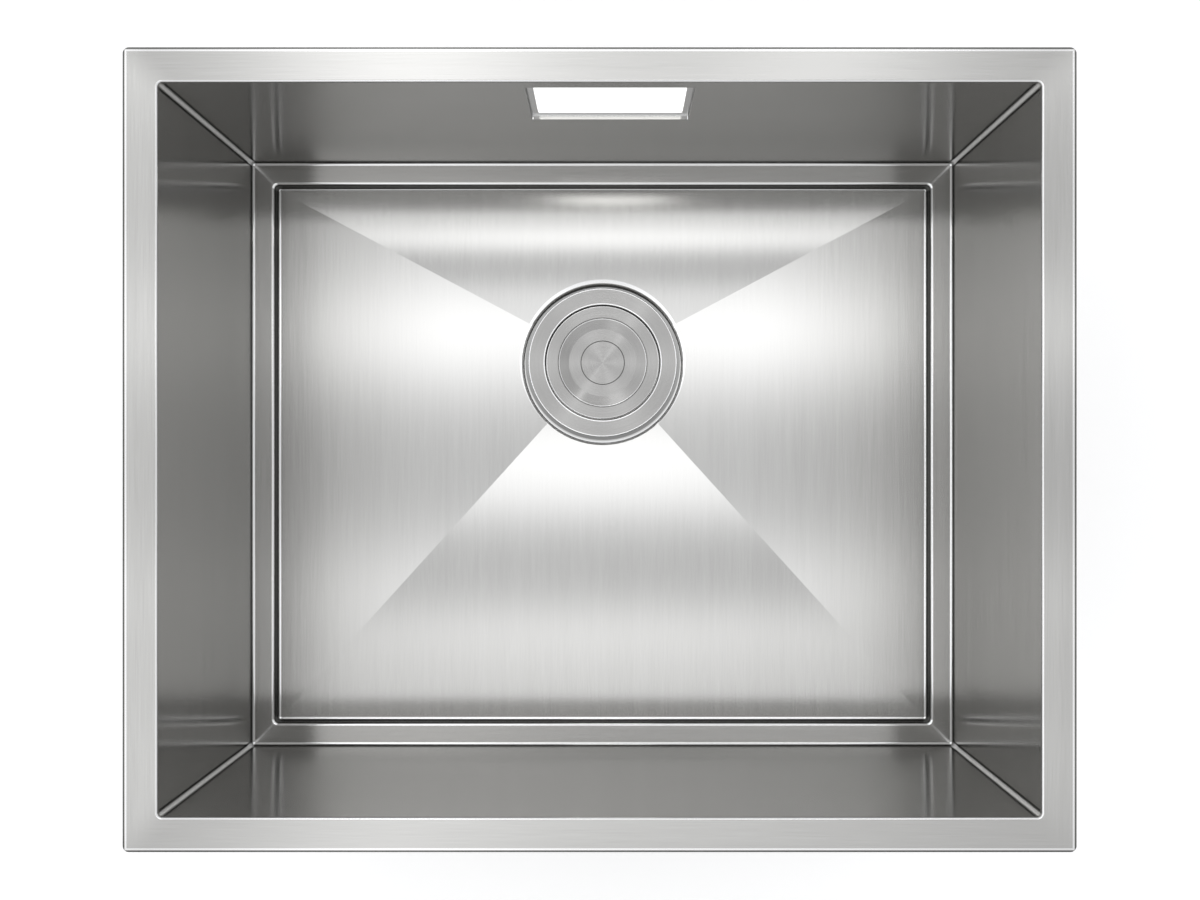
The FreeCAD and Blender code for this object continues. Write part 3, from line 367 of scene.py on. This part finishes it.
def make_brushed_sheet():
    finish = Finish("brushed_sheet_steel")
    x, y, z = finish.position()
    normal = finish.add("ShaderNodeNewGeometry", out="Normal")
    nx, ny, nz = finish.add("ShaderNodeSeparateXYZ", inputs={0: normal}, out=(0, 1, 2))
    diagonal = abs(x) - abs(y)
    on_floor = z.below(FLOOR_TOP, 0.0005) * abs(nz).above(0.8, 0.1)
    on_rim = z.above(RIM_DEPTH, 0.0002)
    mitred = diagonal.below(MITRE, 0.0002) * (1 - on_rim)
    runs_left_right = (mitred + diagonal.below(MITRE, RIM_CORNER_FADE) * on_rim) * (1 - on_floor)
    upright = abs(nz).below(0.7, 0.1)

    fine_x, broad_x = steel_streaks(finish, x, y, z)
    fine_y, broad_y = steel_streaks(finish, y, x, z)
    mixed = {"data_type": "FLOAT"}
    fine = finish.add("ShaderNodeMix", mixed, {0: runs_left_right, 2: fine_y, 3: fine_x})
    broad = finish.add("ShaderNodeMix", mixed, {0: runs_left_right, 2: broad_y, 3: broad_x})

    streak = fine * 0.6 + broad * 0.4
    colour = finish.tint(streak, (0.53, 0.525, 0.51), (0.69, 0.685, 0.67))
    colour = with_painted_light(finish, colour, x, y, z, nx, ny, nz)
    roughness = 0.16 + 0.06 * streak
    shape = draped(finish, z, normal, ny, on_floor)
    normal = finish.bump(fine, 0.000006, normal=shape)
    common = {"Base_Color": colour, "Metallic": 1.0, "Roughness": roughness, "Normal": normal}

    def brushed(axis, turn):
        circles = finish.add("ShaderNodeTangent", {"direction_type": "RADIAL", "axis": axis})
        return finish.surface(**common, Anisotropic=0.95, Anisotropic_Rotation=turn, Tangent=circles,
                              Specular_Tint=GLANCING)

    level = finish.mix(runs_left_right, brushed("Y", 0.0), brushed("X", 0.0))
    return finish.done(finish.mix(upright, level, brushed("Z", 0.25)))


brushed_sheet = make_brushed_sheet()
dress(brushed_sheet, "bowl")

# %% [markdown]
# ## Spun steel
#
# The drain flange, the lid and the button are turned on a lathe, so their scratches are circles
# about the drain's axis.  A strong lamp then shows as a bright spoke on both sides of the centre,
# like the highlight on the back of a pan.  The circles are drawn by a noise that changes quickly
# with the distance from the axis and slowly round it.  The turned edges get painted highlights,
# fine bright rings in the colour, and the gap round the button a ring of painted shade.

# %% Circles about the drain
BUTTON_EDGE = 0.0161
TURNED_EDGES = (0.0324, 0.0415, 0.0434, 0.0545)
RING_WIDTH = 0.0007


def round_drain(finish):
    """Distance from the drain's axis, and the direction round it as two numbers without a seam."""
    x, y, z = finish.position()
    radius = drain_distance(x, y)
    away = radius.at_least(0.0002)
    return x / away, (y - DRAIN_BACK) / away, radius, z


def make_spun_steel():
    finish = Finish("spun_steel")
    side, back, radius, z = round_drain(finish)
    rings = finish.noise(finish.vector(side * 1.5, back * 1.5, radius * 2200 + z * 2200), detail=3.0)
    bands = finish.noise(finish.vector(side * 0.8, back * 0.8, radius * 260), detail=2.0)
    streak = rings * 0.65 + bands * 0.35
    colour = finish.tint(streak, (0.36, 0.357, 0.35), (0.50, 0.496, 0.487))
    # Painted shade: a dark ring in the gap round the button.
    colour = finish.blend(radius.line(BUTTON_EDGE, 0.0006), colour, PAINTED_SHADE_COLOUR)
    # Painted highlights: a bright ring on each turned edge.
    for edge in TURNED_EDGES:
        colour = finish.blend(radius.line(edge, RING_WIDTH), colour, PAINTED_HIGHLIGHT_COLOUR)
    circles = finish.add("ShaderNodeTangent", {"direction_type": "RADIAL", "axis": "Z"})
    shader = finish.surface(Base_Color=colour, Metallic=1.0, Roughness=0.22 + 0.05 * streak,
                            Anisotropic=1.0, Anisotropic_Rotation=0.25, Tangent=circles,
                            Normal=finish.bump(rings, 0.000004))
    return finish.done(shader)


spun_steel = make_spun_steel()
dress(spun_steel, "strainer_cup", "lid", "press_button")

# %% [markdown]
# ## The other finishes
#
# Pressed steel is the sheet before it is brushed: the same colour, with the faint cloudy pattern
# of rolling.  Plated screws are smoother still, spring wire is darker and brass yellower.

# %% Plain metals
def make_metal(name, dark, light, roughness, scale, relief):
    finish = Finish(name)
    x, y, z = finish.position()
    clouds = finish.noise(finish.vector(x, y, z), scale=scale, detail=4.0)
    colour = finish.tint(clouds, dark, light)
    shader = finish.surface(Base_Color=colour, Metallic=1.0, Roughness=roughness + 0.12 * clouds,
                            Normal=finish.bump(clouds, relief))
    return finish.done(shader)


pressed_steel = make_metal("pressed_steel", (0.52, 0.515, 0.50), (0.68, 0.675, 0.66), 0.22, 700, 0.00002)
plated_steel = make_metal("plated_steel", (0.66, 0.66, 0.65), (0.80, 0.80, 0.79), 0.12, 400, 0.00001)
spring_steel = make_metal("spring_steel", (0.34, 0.34, 0.345), (0.50, 0.50, 0.51), 0.20, 900, 0.00002)
brass = make_metal("turned_brass", (0.62, 0.44, 0.17), (0.80, 0.62, 0.30), 0.18, 500, 0.00001)
dress(pressed_steel, "basket", "button_housing")
dress(plated_steel, "guide_tube", "fixing_screw", "lid_stem", "overflow_studs", "overflow_nuts", "hose_clips")
dress(spring_steel, "lift_spring", "button_spring")
dress(brass, "captive_nut")

# %% [markdown]
# Rubber has a matt skin with fine pores, and dust settles on the sound pads.  Two sizes of one
# noise do both: the fine one dents the surface, the coarse one varies how matt it is, and the
# colour follows both.

# %% Rubber
def make_rubber(name, dark, light, grain, relief):
    finish = Finish(name)
    x, y, z = finish.position()
    place = finish.vector(x, y, z)
    pores = finish.noise(place, scale=grain, detail=3.0)
    dust = finish.noise(place, scale=25, detail=3.0)
    colour = finish.tint(pores * 0.6 + dust * 0.4, dark, light)
    shader = finish.surface(Base_Color=colour, Roughness=0.62 + 0.2 * dust, Specular_IOR_Level=0.35,
                            Normal=finish.bump(pores, relief, 0.8))
    return finish.done(shader)


pad_rubber = make_rubber("sound_pad_rubber", (0.055, 0.055, 0.058), (0.11, 0.11, 0.115), 420, 0.0003)
seal_rubber = make_rubber("seal_rubber", (0.015, 0.015, 0.015), (0.035, 0.035, 0.036), 900, 0.00005)
dress(pad_rubber, "left_pad", "right_pad", "front_pad", "back_left_pad", "back_right_pad",
      "floor_front_pad", "floor_left_pad", "floor_right_pad")
dress(seal_rubber, "flange_seal", "waste_gasket", "overflow_gasket", "basket_seal", "lid_seal")

# %% [markdown]
# Moulded plastic is smooth, with a faint cloudiness where it flowed into its mould.  The collector
# is milky: daylight would shine through it, and the photograph shows plain white in the
# overflow's hole.  A shader that lets light into a shut box is slow and noisy, so the faces that
# look into its hollow glow instead.  Their normals point towards its middle, which picks them out.

# %% Moulded plastics
GLOW_CENTRE = (0.006, 0.2257, -0.044)
GLOW_HALF_LENGTH = 0.0676
GLOW_BACK = 0.23425


def lit_from_behind(finish, x, y):
    """1 on the faces that look into the collector's hollow, which glow in place of the daylight that would
    shine through.
    """
    normal = finish.add("ShaderNodeNewGeometry", out="Normal")
    place = finish.add("ShaderNodeTexCoord", out="Object")
    inwards = finish.add("ShaderNodeVectorMath", {"operation": "SUBTRACT"}, {0: GLOW_CENTRE, 1: place})
    facing = finish.add("ShaderNodeVectorMath", {"operation": "DOT_PRODUCT"},
                        {0: normal, 1: inwards}, out="Value")
    within = abs(x - GLOW_CENTRE[0]).below(GLOW_HALF_LENGTH, 0.0001) * y.below(GLOW_BACK, 0.0001)
    return facing.above(0.0, 0.0005) * within


def make_plastic(name, dark, light, roughness, glow=0.0):
    finish = Finish(name)
    x, y, z = finish.position()
    place = finish.vector(x, y, z)
    skin = finish.noise(place, scale=1800, detail=2.0)
    flow = finish.noise(place, scale=18, detail=3.0)
    colour = finish.tint(flow, dark, light)
    common = {"Base_Color": colour, "Roughness": roughness + 0.1 * flow, "IOR": 1.49,
              "Normal": finish.bump(skin, 0.00002, 0.5)}
    if glow:
        common["Emission_Color"] = finish.tint(lit_from_behind(finish, x, y), (0, 0, 0), (1, 1, 1))
        common["Emission_Strength"] = glow
    return finish.done(finish.surface(**common))


white_plastic = make_plastic("white_moulding", (0.62, 0.62, 0.61), (0.70, 0.70, 0.69), 0.32)
milky_plastic = make_plastic("milky_moulding", (0.70, 0.70, 0.69), (0.78, 0.78, 0.77), 0.25, glow=1.0)
hose_plastic = make_plastic("hose_plastic", (0.50, 0.50, 0.49), (0.60, 0.60, 0.59), 0.4)
dress(white_plastic, "waste_body", "outlet_tail", "latch_sleeve")
dress(milky_plastic, "overflow_collector")
dress(hose_plastic, "overflow_hose")

# %% [markdown]
# ## The overflow hose
#
# The hose is blown plastic with ring-shaped ribs, so that it can bend without closing, and smooth
# cuffs where the clips grip.  One rib is modelled from a circle by extruding and scaling its edge.
# An Array modifier repeats it, and a Curve modifier bends the row along the hose's route, which
# is how a real hose takes its bend: every rib stays a ring and only its place changes.

# %% Helpers for modelling in edit mode
def deselect():
    for thing in bpy.context.selected_objects:
        thing.select_set(False)


def choose_vertices(thing, wanted):
    """In edit mode, select only the vertices whose place passes a test."""
    bpy.ops.object.mode_set(mode="OBJECT")
    for part in (*thing.data.edges, *thing.data.polygons):
        part.select = False
    for vertex in thing.data.vertices:
        vertex.select = wanted(vertex.co)
    bpy.ops.object.mode_set(mode="EDIT")
    bpy.ops.mesh.select_mode(type="VERT")


def apply_modifiers(thing):
    bpy.context.view_layer.objects.active = thing
    for modifier in list(thing.modifiers):
        bpy.ops.object.modifier_apply(modifier=modifier.name)


def finish_piece(thing, material, body, slot, *replaced, smooth_below=35):
    """Face outwards, shade smoothly, put the object's zero at the frame's, and ride a body."""
    deselect()
    thing.select_set(True)
    bpy.context.view_layer.objects.active = thing
    bpy.ops.object.mode_set(mode="EDIT")
    bpy.ops.mesh.select_all(action="SELECT")
    bpy.ops.mesh.normals_make_consistent(inside=False)
    bpy.ops.object.mode_set(mode="OBJECT")
    bpy.ops.object.transform_apply(location=True, rotation=True, scale=True)
    bpy.ops.object.shade_smooth_by_angle(angle=math.radians(smooth_below))
    thing.data.materials.clear()
    thing.data.materials.append(material)
    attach(thing, body)
    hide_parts(*replaced)
    thing.select_set(False)
    size = [round(side * 1000, 1) for side in thing.dimensions]
    print(thing.name, size, "mm,", len(thing.data.polygons), "faces")


# %% One rib and two cuffs
HOSE_RADIUS = 0.0112
RIB_VALLEY = 0.0101
RIB_PITCH = 0.0035
CUFF = 0.0175
HOSE_TOP = Vector((-0.0525, 0.2257, -0.086))
HOSE_LEVEL = -0.2384
HOSE_BEND = 0.060
HOSE_STOPS_SHORT = 0.050
DRAIN = Vector((0, DRAIN_BACK, HOSE_LEVEL))
inward = Vector((DRAIN.x - HOSE_TOP.x, DRAIN.y - HOSE_TOP.y, 0))
hose_reach = inward.length
inward.normalize()
bend_start = Vector((HOSE_TOP.x, HOSE_TOP.y, HOSE_LEVEL + HOSE_BEND))
bend_end = DRAIN - inward * (hose_reach - HOSE_BEND)
hose_end = DRAIN - inward * HOSE_STOPS_SHORT
hose_length = (HOSE_TOP - bend_start).length + HOSE_BEND * math.pi / 2 + (hose_end - bend_end).length
rib_count = int((hose_length - 2 * CUFF) / RIB_PITCH)
rib_pitch = (hose_length - 2 * CUFF) / rib_count
print("hose", round(hose_length * 1000, 1), "mm long with", rib_count, "ribs")


def extrude_ring(step, scale):
    """Carry the selected ring along the hose and change its size."""
    bpy.ops.mesh.extrude_region_move(TRANSFORM_OT_translate={"value": (step, 0, 0)})
    bpy.ops.transform.resize(value=(1, scale, scale))


def start_ring(radius, x):
    deselect()
    bpy.ops.mesh.primitive_circle_add(vertices=40, radius=radius, location=(x, 0, 0),
                                      rotation=(0, math.pi / 2, 0))
    ring = bpy.context.object
    bpy.ops.object.transform_apply(location=True, rotation=True, scale=True)
    bpy.ops.object.mode_set(mode="EDIT")
    bpy.ops.mesh.select_all(action="SELECT")
    return ring


hose = start_ring(RIB_VALLEY, CUFF)
swell = HOSE_RADIUS / RIB_VALLEY
extrude_ring(rib_pitch * 0.18, 1.0)
extrude_ring(rib_pitch * 0.2, swell * 0.985)
extrude_ring(rib_pitch * 0.12, 1 / 0.985)
extrude_ring(rib_pitch * 0.2, 0.985)
extrude_ring(rib_pitch * 0.2, 1 / (swell * 0.985))
extrude_ring(rib_pitch * 0.1, 1.0)
bpy.ops.object.mode_set(mode="OBJECT")
row = hose.modifiers.new("row", "ARRAY")
row.use_relative_offset, row.use_constant_offset = False, True
row.constant_offset_displace = (rib_pitch, 0, 0)
row.count, row.use_merge_vertices, row.merge_threshold = rib_count, True, 0.00005
apply_modifiers(hose)

# %% Cuffs at both ends
CUFF_LIP = 0.0008
CUFF_STEPS = 4
for place, way in ((CUFF, -1), (hose_length - CUFF, 1)):
    choose_vertices(hose, lambda co: abs(co.x - place) < 0.00002)
    extrude_ring(way * CUFF_LIP, swell)
    for step in range(CUFF_STEPS):
        extrude_ring(way * (CUFF - CUFF_LIP) / CUFF_STEPS, 1.0)
bpy.ops.object.mode_set(mode="OBJECT")

# %% Bend it along its route
ROUND_HANDLE = 0.5523
STRAIGHT_HANDLE = 0.02
deselect()
bpy.ops.curve.primitive_bezier_curve_add()
route = bpy.context.object
points = route.data.splines[0].bezier_points
points.add(2)
handle = HOSE_BEND * ROUND_HANDLE
down = Vector((0, 0, -1))
stops = [(HOSE_TOP, down, STRAIGHT_HANDLE, STRAIGHT_HANDLE),
         (bend_start, down, STRAIGHT_HANDLE, handle),
         (bend_end, inward, handle, STRAIGHT_HANDLE),
         (hose_end, inward, STRAIGHT_HANDLE, STRAIGHT_HANDLE)]
for point, (place, way, before, after) in zip(points, stops):
    point.handle_left_type = point.handle_right_type = "FREE"
    point.co, point.handle_left, point.handle_right = place, place - way * before, place + way * after
route.data.resolution_u = 48
bend = hose.modifiers.new("bend", "CURVE")
bend.object, bend.deform_axis = route, "POS_X"
wall = hose.modifiers.new("wall", "SOLIDIFY")
wall.thickness, wall.offset = 0.0009, -1
deselect()
hose.select_set(True)
apply_modifiers(hose)
bpy.data.objects.remove(route)
hose.name = "ribbed_hose"
finish_piece(hose, hose_plastic, "sink", "hose_plastic", "overflow_hose")

# %% [markdown]
# ## The overflow collector
#
# Behind the overflow hole sits a moulded box.  Its back leans forward a little, as a moulding's
# draft does, and so the rim hides it from above.  A mould needs round corners, so the cube gets its
# four front-to-back edges and then its back rim bevelled.  A raised field and a row of thin ribs
# stiffen the back.  The front is taken away, because the bowl's wall closes it there, and a Solidify
# modifier gives the rest an even wall, as moulded plastic has.

# %% Choosing edges or faces by their place
TOUCHING = 0.00001


def choose(thing, kind, wanted):
    """In edit mode, select only the edges or faces whose corners, taken together, pass a test."""
    bpy.context.view_layer.objects.active = thing
    bpy.ops.object.mode_set(mode="EDIT")
    bpy.ops.mesh.select_mode(type=kind)
    bpy.ops.mesh.select_all(action="DESELECT")
    bpy.ops.object.mode_set(mode="OBJECT")
    corners = thing.data.vertices
    for part in thing.data.edges if kind == "EDGE" else thing.data.polygons:
        part.select = wanted([corners[index].co for index in part.vertices])
    bpy.ops.object.mode_set(mode="EDIT")


def moulded_block(low, high, corner, segments, draft=0.0):
    """A block with its front-to-back edges rounded, whose back may lean forward by a draft."""
    deselect()
    low, high = Vector(low), Vector(high)
    bpy.ops.mesh.primitive_cube_add(size=1, location=(low + high) / 2, scale=high - low)
    block = bpy.context.object
    bpy.ops.object.transform_apply(location=True, rotation=True, scale=True)
    choose(block, "EDGE", lambda ends: all((end.yz - high.yz).length < TOUCHING for end in ends))
    bpy.ops.transform.translate(value=(0, -draft, 0))
    bpy.ops.object.mode_set(mode="OBJECT")
    reach = (high.y - low.y) / 2
    choose(block, "EDGE", lambda ends: abs(ends[0].y - ends[1].y) > reach)
    bpy.ops.mesh.bevel(offset=corner, segments=segments)
    bpy.ops.object.mode_set(mode="OBJECT")
    return block


# %% The box, open towards the bowl
LUG_LENGTH, LUG_HEIGHT, LUG_THICKNESS = 0.014, 0.070, 0.003
SPIGOT_LENGTH, SPIGOT_RADIUS = 0.026, 0.010
MOULD_WALL = 0.0025
DRAFT = 0.0036
BOX_CORNER, BACK_ROUND = 0.005, 0.0022
PANEL_INSET, PANEL_RISE = 0.002, 0.0012
SMALL_FACE_CORNERS = 12
low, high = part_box("overflow_collector")
box_low = Vector((low.x + LUG_LENGTH, low.y, low.z + SPIGOT_LENGTH))
box_high = Vector((high.x - LUG_LENGTH, high.y, high.z))
half_way = (box_low.y + box_high.y) / 2
collector = moulded_block(box_low, box_high, BOX_CORNER, 5, DRAFT)
collector.name = "moulded_collector"
choose(collector, "EDGE", lambda ends: min(end.y for end in ends) > half_way)
bpy.ops.mesh.bevel(offset=BACK_ROUND, segments=3)
bpy.ops.object.mode_set(mode="OBJECT")
choose(collector, "FACE", lambda places: len(places) > SMALL_FACE_CORNERS and places[0].y > half_way)
bpy.ops.mesh.inset(thickness=PANEL_INSET)
bpy.ops.mesh.extrude_region_move(TRANSFORM_OT_translate={"value": (0, PANEL_RISE, 0)})
bpy.ops.transform.resize(value=(0.985, 1, 0.97))
bpy.ops.object.mode_set(mode="OBJECT")
choose(collector, "FACE", lambda places: max(place.y for place in places) < low.y + TOUCHING)
bpy.ops.mesh.delete(type="FACE")
bpy.ops.object.mode_set(mode="OBJECT")
wall = collector.modifiers.new("wall", "SOLIDIFY")
wall.thickness, wall.offset, wall.use_even_offset = MOULD_WALL, -1, True
deselect()
collector.select_set(True)
apply_modifiers(collector)
print("collector box", [round(side * 1000, 1) for side in collector.dimensions], "mm")

# %% Ribs, lugs and spigot
RIBS_ON_BACK = 6
RIB_STEP = 0.018
RIB_REACH = 0.026
RIB_HALF_WIDTH = 0.0008
RIB_FOOT, RIB_TOP = 0.0010, 0.0024
LUG_OVERLAP = 0.002
SPIGOT_WALL = 0.002
middle = (box_low + box_high) / 2
first = middle.x - RIB_STEP * (RIBS_ON_BACK - 1) / 2
rib = moulded_block((first - RIB_HALF_WIDTH, high.y + RIB_FOOT, middle.z - RIB_REACH),
                    (first + RIB_HALF_WIDTH, high.y + RIB_TOP, middle.z + RIB_REACH), 0.0007, 2)
lean = DRAFT / (box_high.z - box_low.z)
choose_vertices(rib, lambda co: co.z > middle.z)
bpy.ops.transform.translate(value=(0, -2 * RIB_REACH * lean, 0))
bpy.ops.mesh.select_all(action="SELECT")
bpy.ops.transform.translate(value=(0, -(middle.z - RIB_REACH - box_low.z) * lean, 0))
bpy.ops.object.mode_set(mode="OBJECT")
row = rib.modifiers.new("row", "ARRAY")
row.use_relative_offset, row.use_constant_offset = False, True
row.constant_offset_displace, row.count = (RIB_STEP, 0, 0), RIBS_ON_BACK
apply_modifiers(rib)
lugs = []
for inner, outer in ((box_low.x, low.x), (box_high.x, high.x)):
    overlap = math.copysign(LUG_OVERLAP, inner - outer)
    near, far = sorted((inner + overlap, outer))
    lug = moulded_block((near, low.y, middle.z - LUG_HEIGHT / 2),
                        (far, low.y + LUG_THICKNESS, middle.z + LUG_HEIGHT / 2), 0.0015, 3)
    lugs.append(lug)
deselect()
bpy.ops.mesh.primitive_cylinder_add(vertices=48, radius=SPIGOT_RADIUS, depth=SPIGOT_LENGTH,
                                    end_fill_type="NOTHING",
                                    location=(HOSE_TOP.x, HOSE_TOP.y, low.z + SPIGOT_LENGTH / 2))
spigot = bpy.context.object
bpy.ops.object.transform_apply(location=True, rotation=True, scale=True)
pipe = spigot.modifiers.new("pipe", "SOLIDIFY")
pipe.thickness, pipe.offset = SPIGOT_WALL, -1
apply_modifiers(spigot)
deselect()
for part in (rib, spigot, *lugs, collector):
    part.select_set(True)
bpy.context.view_layer.objects.active = collector
bpy.ops.object.join()
finish_piece(collector, milky_plastic, "sink", "milky_plastic", "overflow_collector")

# %% [markdown]
# ## The outlet's thread
#
# The trap's union nut screws on to a G 1 1/2 pipe thread: eleven turns to the inch.  A Screw
# modifier makes a thread as a lathe does, by turning one tooth about the axis while it climbs one
# pitch a turn.  The tooth stands on a plain tube whose foot is bevelled.

# %% Tube with a bevelled foot
THREAD_PITCH = 0.0254 / 11
THREAD_CREST = 0.0239
THREAD_ROOT = THREAD_CREST - 0.0014
TAIL_BORE = 0.020
FOOT_BEVEL = 0.0006
tail_low, tail_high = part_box("outlet_tail")
tail_middle = (tail_low.z + tail_high.z) / 2
deselect()
bpy.ops.mesh.primitive_cylinder_add(vertices=96, radius=THREAD_ROOT, depth=tail_high.z - tail_low.z,
                                    end_fill_type="NGON", location=(0, DRAIN_BACK, tail_middle))
tail = bpy.context.object
tail.name = "threaded_tail"
bpy.ops.object.transform_apply(location=True, rotation=True, scale=True)
bpy.ops.object.mode_set(mode="EDIT")
bpy.ops.mesh.select_all(action="DESELECT")
bpy.ops.object.mode_set(mode="OBJECT")
for face in tail.data.polygons:
    face.select = abs(face.normal.z) > 0.9
bpy.ops.object.mode_set(mode="EDIT")
bpy.ops.mesh.select_mode(type="FACE")
bpy.ops.mesh.inset(thickness=THREAD_ROOT - TAIL_BORE)
bpy.ops.mesh.bridge_edge_loops()
choose_vertices(tail, lambda co: abs(co.z - tail_low.z) < TOUCHING)
bpy.ops.mesh.bevel(offset=FOOT_BEVEL, segments=2)
bpy.ops.object.mode_set(mode="OBJECT")

# %% One tooth, turned and raised
PLAIN_ENDS = 0.004
THREAD_START = 0.0012
TOOTH_SUNK = 0.0003
CREST_FROM, CREST_TO, TOOTH_TO = 0.36, 0.5, 0.86
THREAD_STEPS = 72
turns = int((tail_high.z - tail_low.z - PLAIN_ENDS) / THREAD_PITCH)
deselect()
bpy.ops.mesh.primitive_plane_add(size=0.001, location=(0, DRAIN_BACK, tail_low.z + THREAD_START))
thread = bpy.context.object
corners = [(THREAD_ROOT - TOOTH_SUNK, 0), (THREAD_CREST, THREAD_PITCH * CREST_FROM),
           (THREAD_CREST, THREAD_PITCH * CREST_TO), (THREAD_ROOT - TOOTH_SUNK, THREAD_PITCH * TOOTH_TO)]
order = [0, 1, 3, 2]
for vertex, corner in zip(order, corners):
    thread.data.vertices[vertex].co = (corner[0], 0, corner[1])
lathe = thread.modifiers.new("lathe", "SCREW")
lathe.axis, lathe.angle, lathe.screw_offset = "Z", math.tau, THREAD_PITCH
lathe.iterations, lathe.steps, lathe.render_steps = turns, THREAD_STEPS, THREAD_STEPS
deselect()
thread.select_set(True)
apply_modifiers(thread)
deselect()
thread.select_set(True)
tail.select_set(True)
bpy.context.view_layer.objects.active = tail
bpy.ops.object.join()
finish_piece(tail, white_plastic, "sink", "white_plastic", "outlet_tail")

# %% [markdown]
# ## Studio light
#
# Polished metal is a picture of what stands round it, so the light is built like a photographer's
# tent: a pale cloth on all sides, with nine soft lamps behind it overhead.  Each lamp is a
# soft-edged patch of the world's own shader, placed by how far it leans from straight up: to the
# right and to the back, as a slope.  Four bars run left to right, and the gaps between them make
# the bands across the floor's slopes.  The lamps further out light the rim and the drain.

# %% The world's nodes in the same language
HORIZON = 0.02


class Tent(Finish):
    """The light that comes from all round, as one shader."""

    def __init__(self, name):
        world = bpy.data.worlds.new(name)
        bpy.context.scene.world = world
        world.use_nodes = True
        self.tree = world.node_tree
        self.background = self.tree.nodes["Background"]

    def leaning(self):
        """How far a direction leans to the right and to the back, and 1 for what is overhead."""
        way = self.add("ShaderNodeTexCoord", out="Generated")
        right, back, up = self.add("ShaderNodeSeparateXYZ", inputs={0: way}, out=(0, 1, 2))
        height = up.at_least(HORIZON)
        return right / height, back / height, up.above(HORIZON, 0.01)

    def lamp(self, right, back, lamp):
        """A patch with soft edges: 1 in its middle, fading out with distance."""
        middle_right, middle_back, half_width, half_depth, turn, strength = lamp
        cosine, sine = math.cos(math.radians(turn)), math.sin(math.radians(turn))
        right, back = right - middle_right, back - middle_back
        across = (right * cosine + back * sine) * (1 / half_width)
        along = (back * cosine - right * sine) * (1 / half_depth)
        distance = (across * across + along * along) * -1
        return distance.math("EXPONENT", distance) * strength


# %% Lamps behind the cloth
CLOTH = 0.66
BAR = 0.28
DAYLIGHT = (0.985, 0.99, 1.0, 1)
LAMPS = [  # slope right, slope back, half width, half depth, turn in degrees, strength
    (0.0, 0.34, BAR, 0.06, 0, 0.9),       # bar behind the bowl: the slope behind the drain
    (0.0, 0.11, BAR, 0.045, 0, 1.3),      # bar over the drain: its row and the crest before it
    (0.0, -0.10, BAR, 0.05, 0, 0.8),      # bar before the drain: the front slope's second band
    (0.0, -0.22, BAR, 0.06, 0, 0.7),      # bar over the front wall: the floor's front edge
    (-0.2, 0.5, 0.12, 0.25, 0, 0.7),      # the back rim's bright stretch, left of its middle
    (-0.2, -0.5, 0.12, 0.25, 0, 0.7),     # the front rim's bright stretch
    (-0.8, 0.0, 0.25, 0.6, 0, 1.0),       # wing at the left: the side rims and the right wall
    (0.25, 0.48, 0.35, 0.03, 57, 2.0),    # strip meant for the drain's narrow spoke, faint
    (-0.2, 0.55, 0.30, 0.12, 112, 0.9),   # board meant for the drain's wide spoke, faint
]
tent = Tent("tent")
to_right, to_back, overhead = tent.leaning()
lamplight = 0
for lamp in LAMPS:
    lamplight = tent.lamp(to_right, to_back, lamp) + lamplight
light = lamplight * overhead + CLOTH
tent.tree.links.new(light.socket, tent.background.inputs["Strength"])
tent.background.inputs["Color"].default_value = DAYLIGHT
print(len(LAMPS), "lamps behind a cloth of strength", CLOTH)

# %% [markdown]
# The photograph is cut out on white, so the sink hangs over matt white paper.  A little glow of
# the paper's own keeps it white under the sink.

# %% White paper
PAPER_LEVEL = -0.3094
PAPER_GLOW = 0.35
bpy.ops.mesh.primitive_plane_add(size=12, location=(0, 0, PAPER_LEVEL))
floor = bpy.context.object
floor.name = "studio_floor"
paper = Finish("studio_paper")
fibre = paper.noise(paper.vector(*paper.position()), scale=300, detail=2.0)
floor.data.materials.append(paper.done(paper.surface(
    Base_Color=paper.tint(fibre, (0.93, 0.93, 0.93), (0.95, 0.95, 0.95)), Roughness=0.9,
    Emission_Color=(1, 1, 1, 1), Emission_Strength=PAPER_GLOW)))
bpy.context.scene.view_settings.view_transform = "Standard"
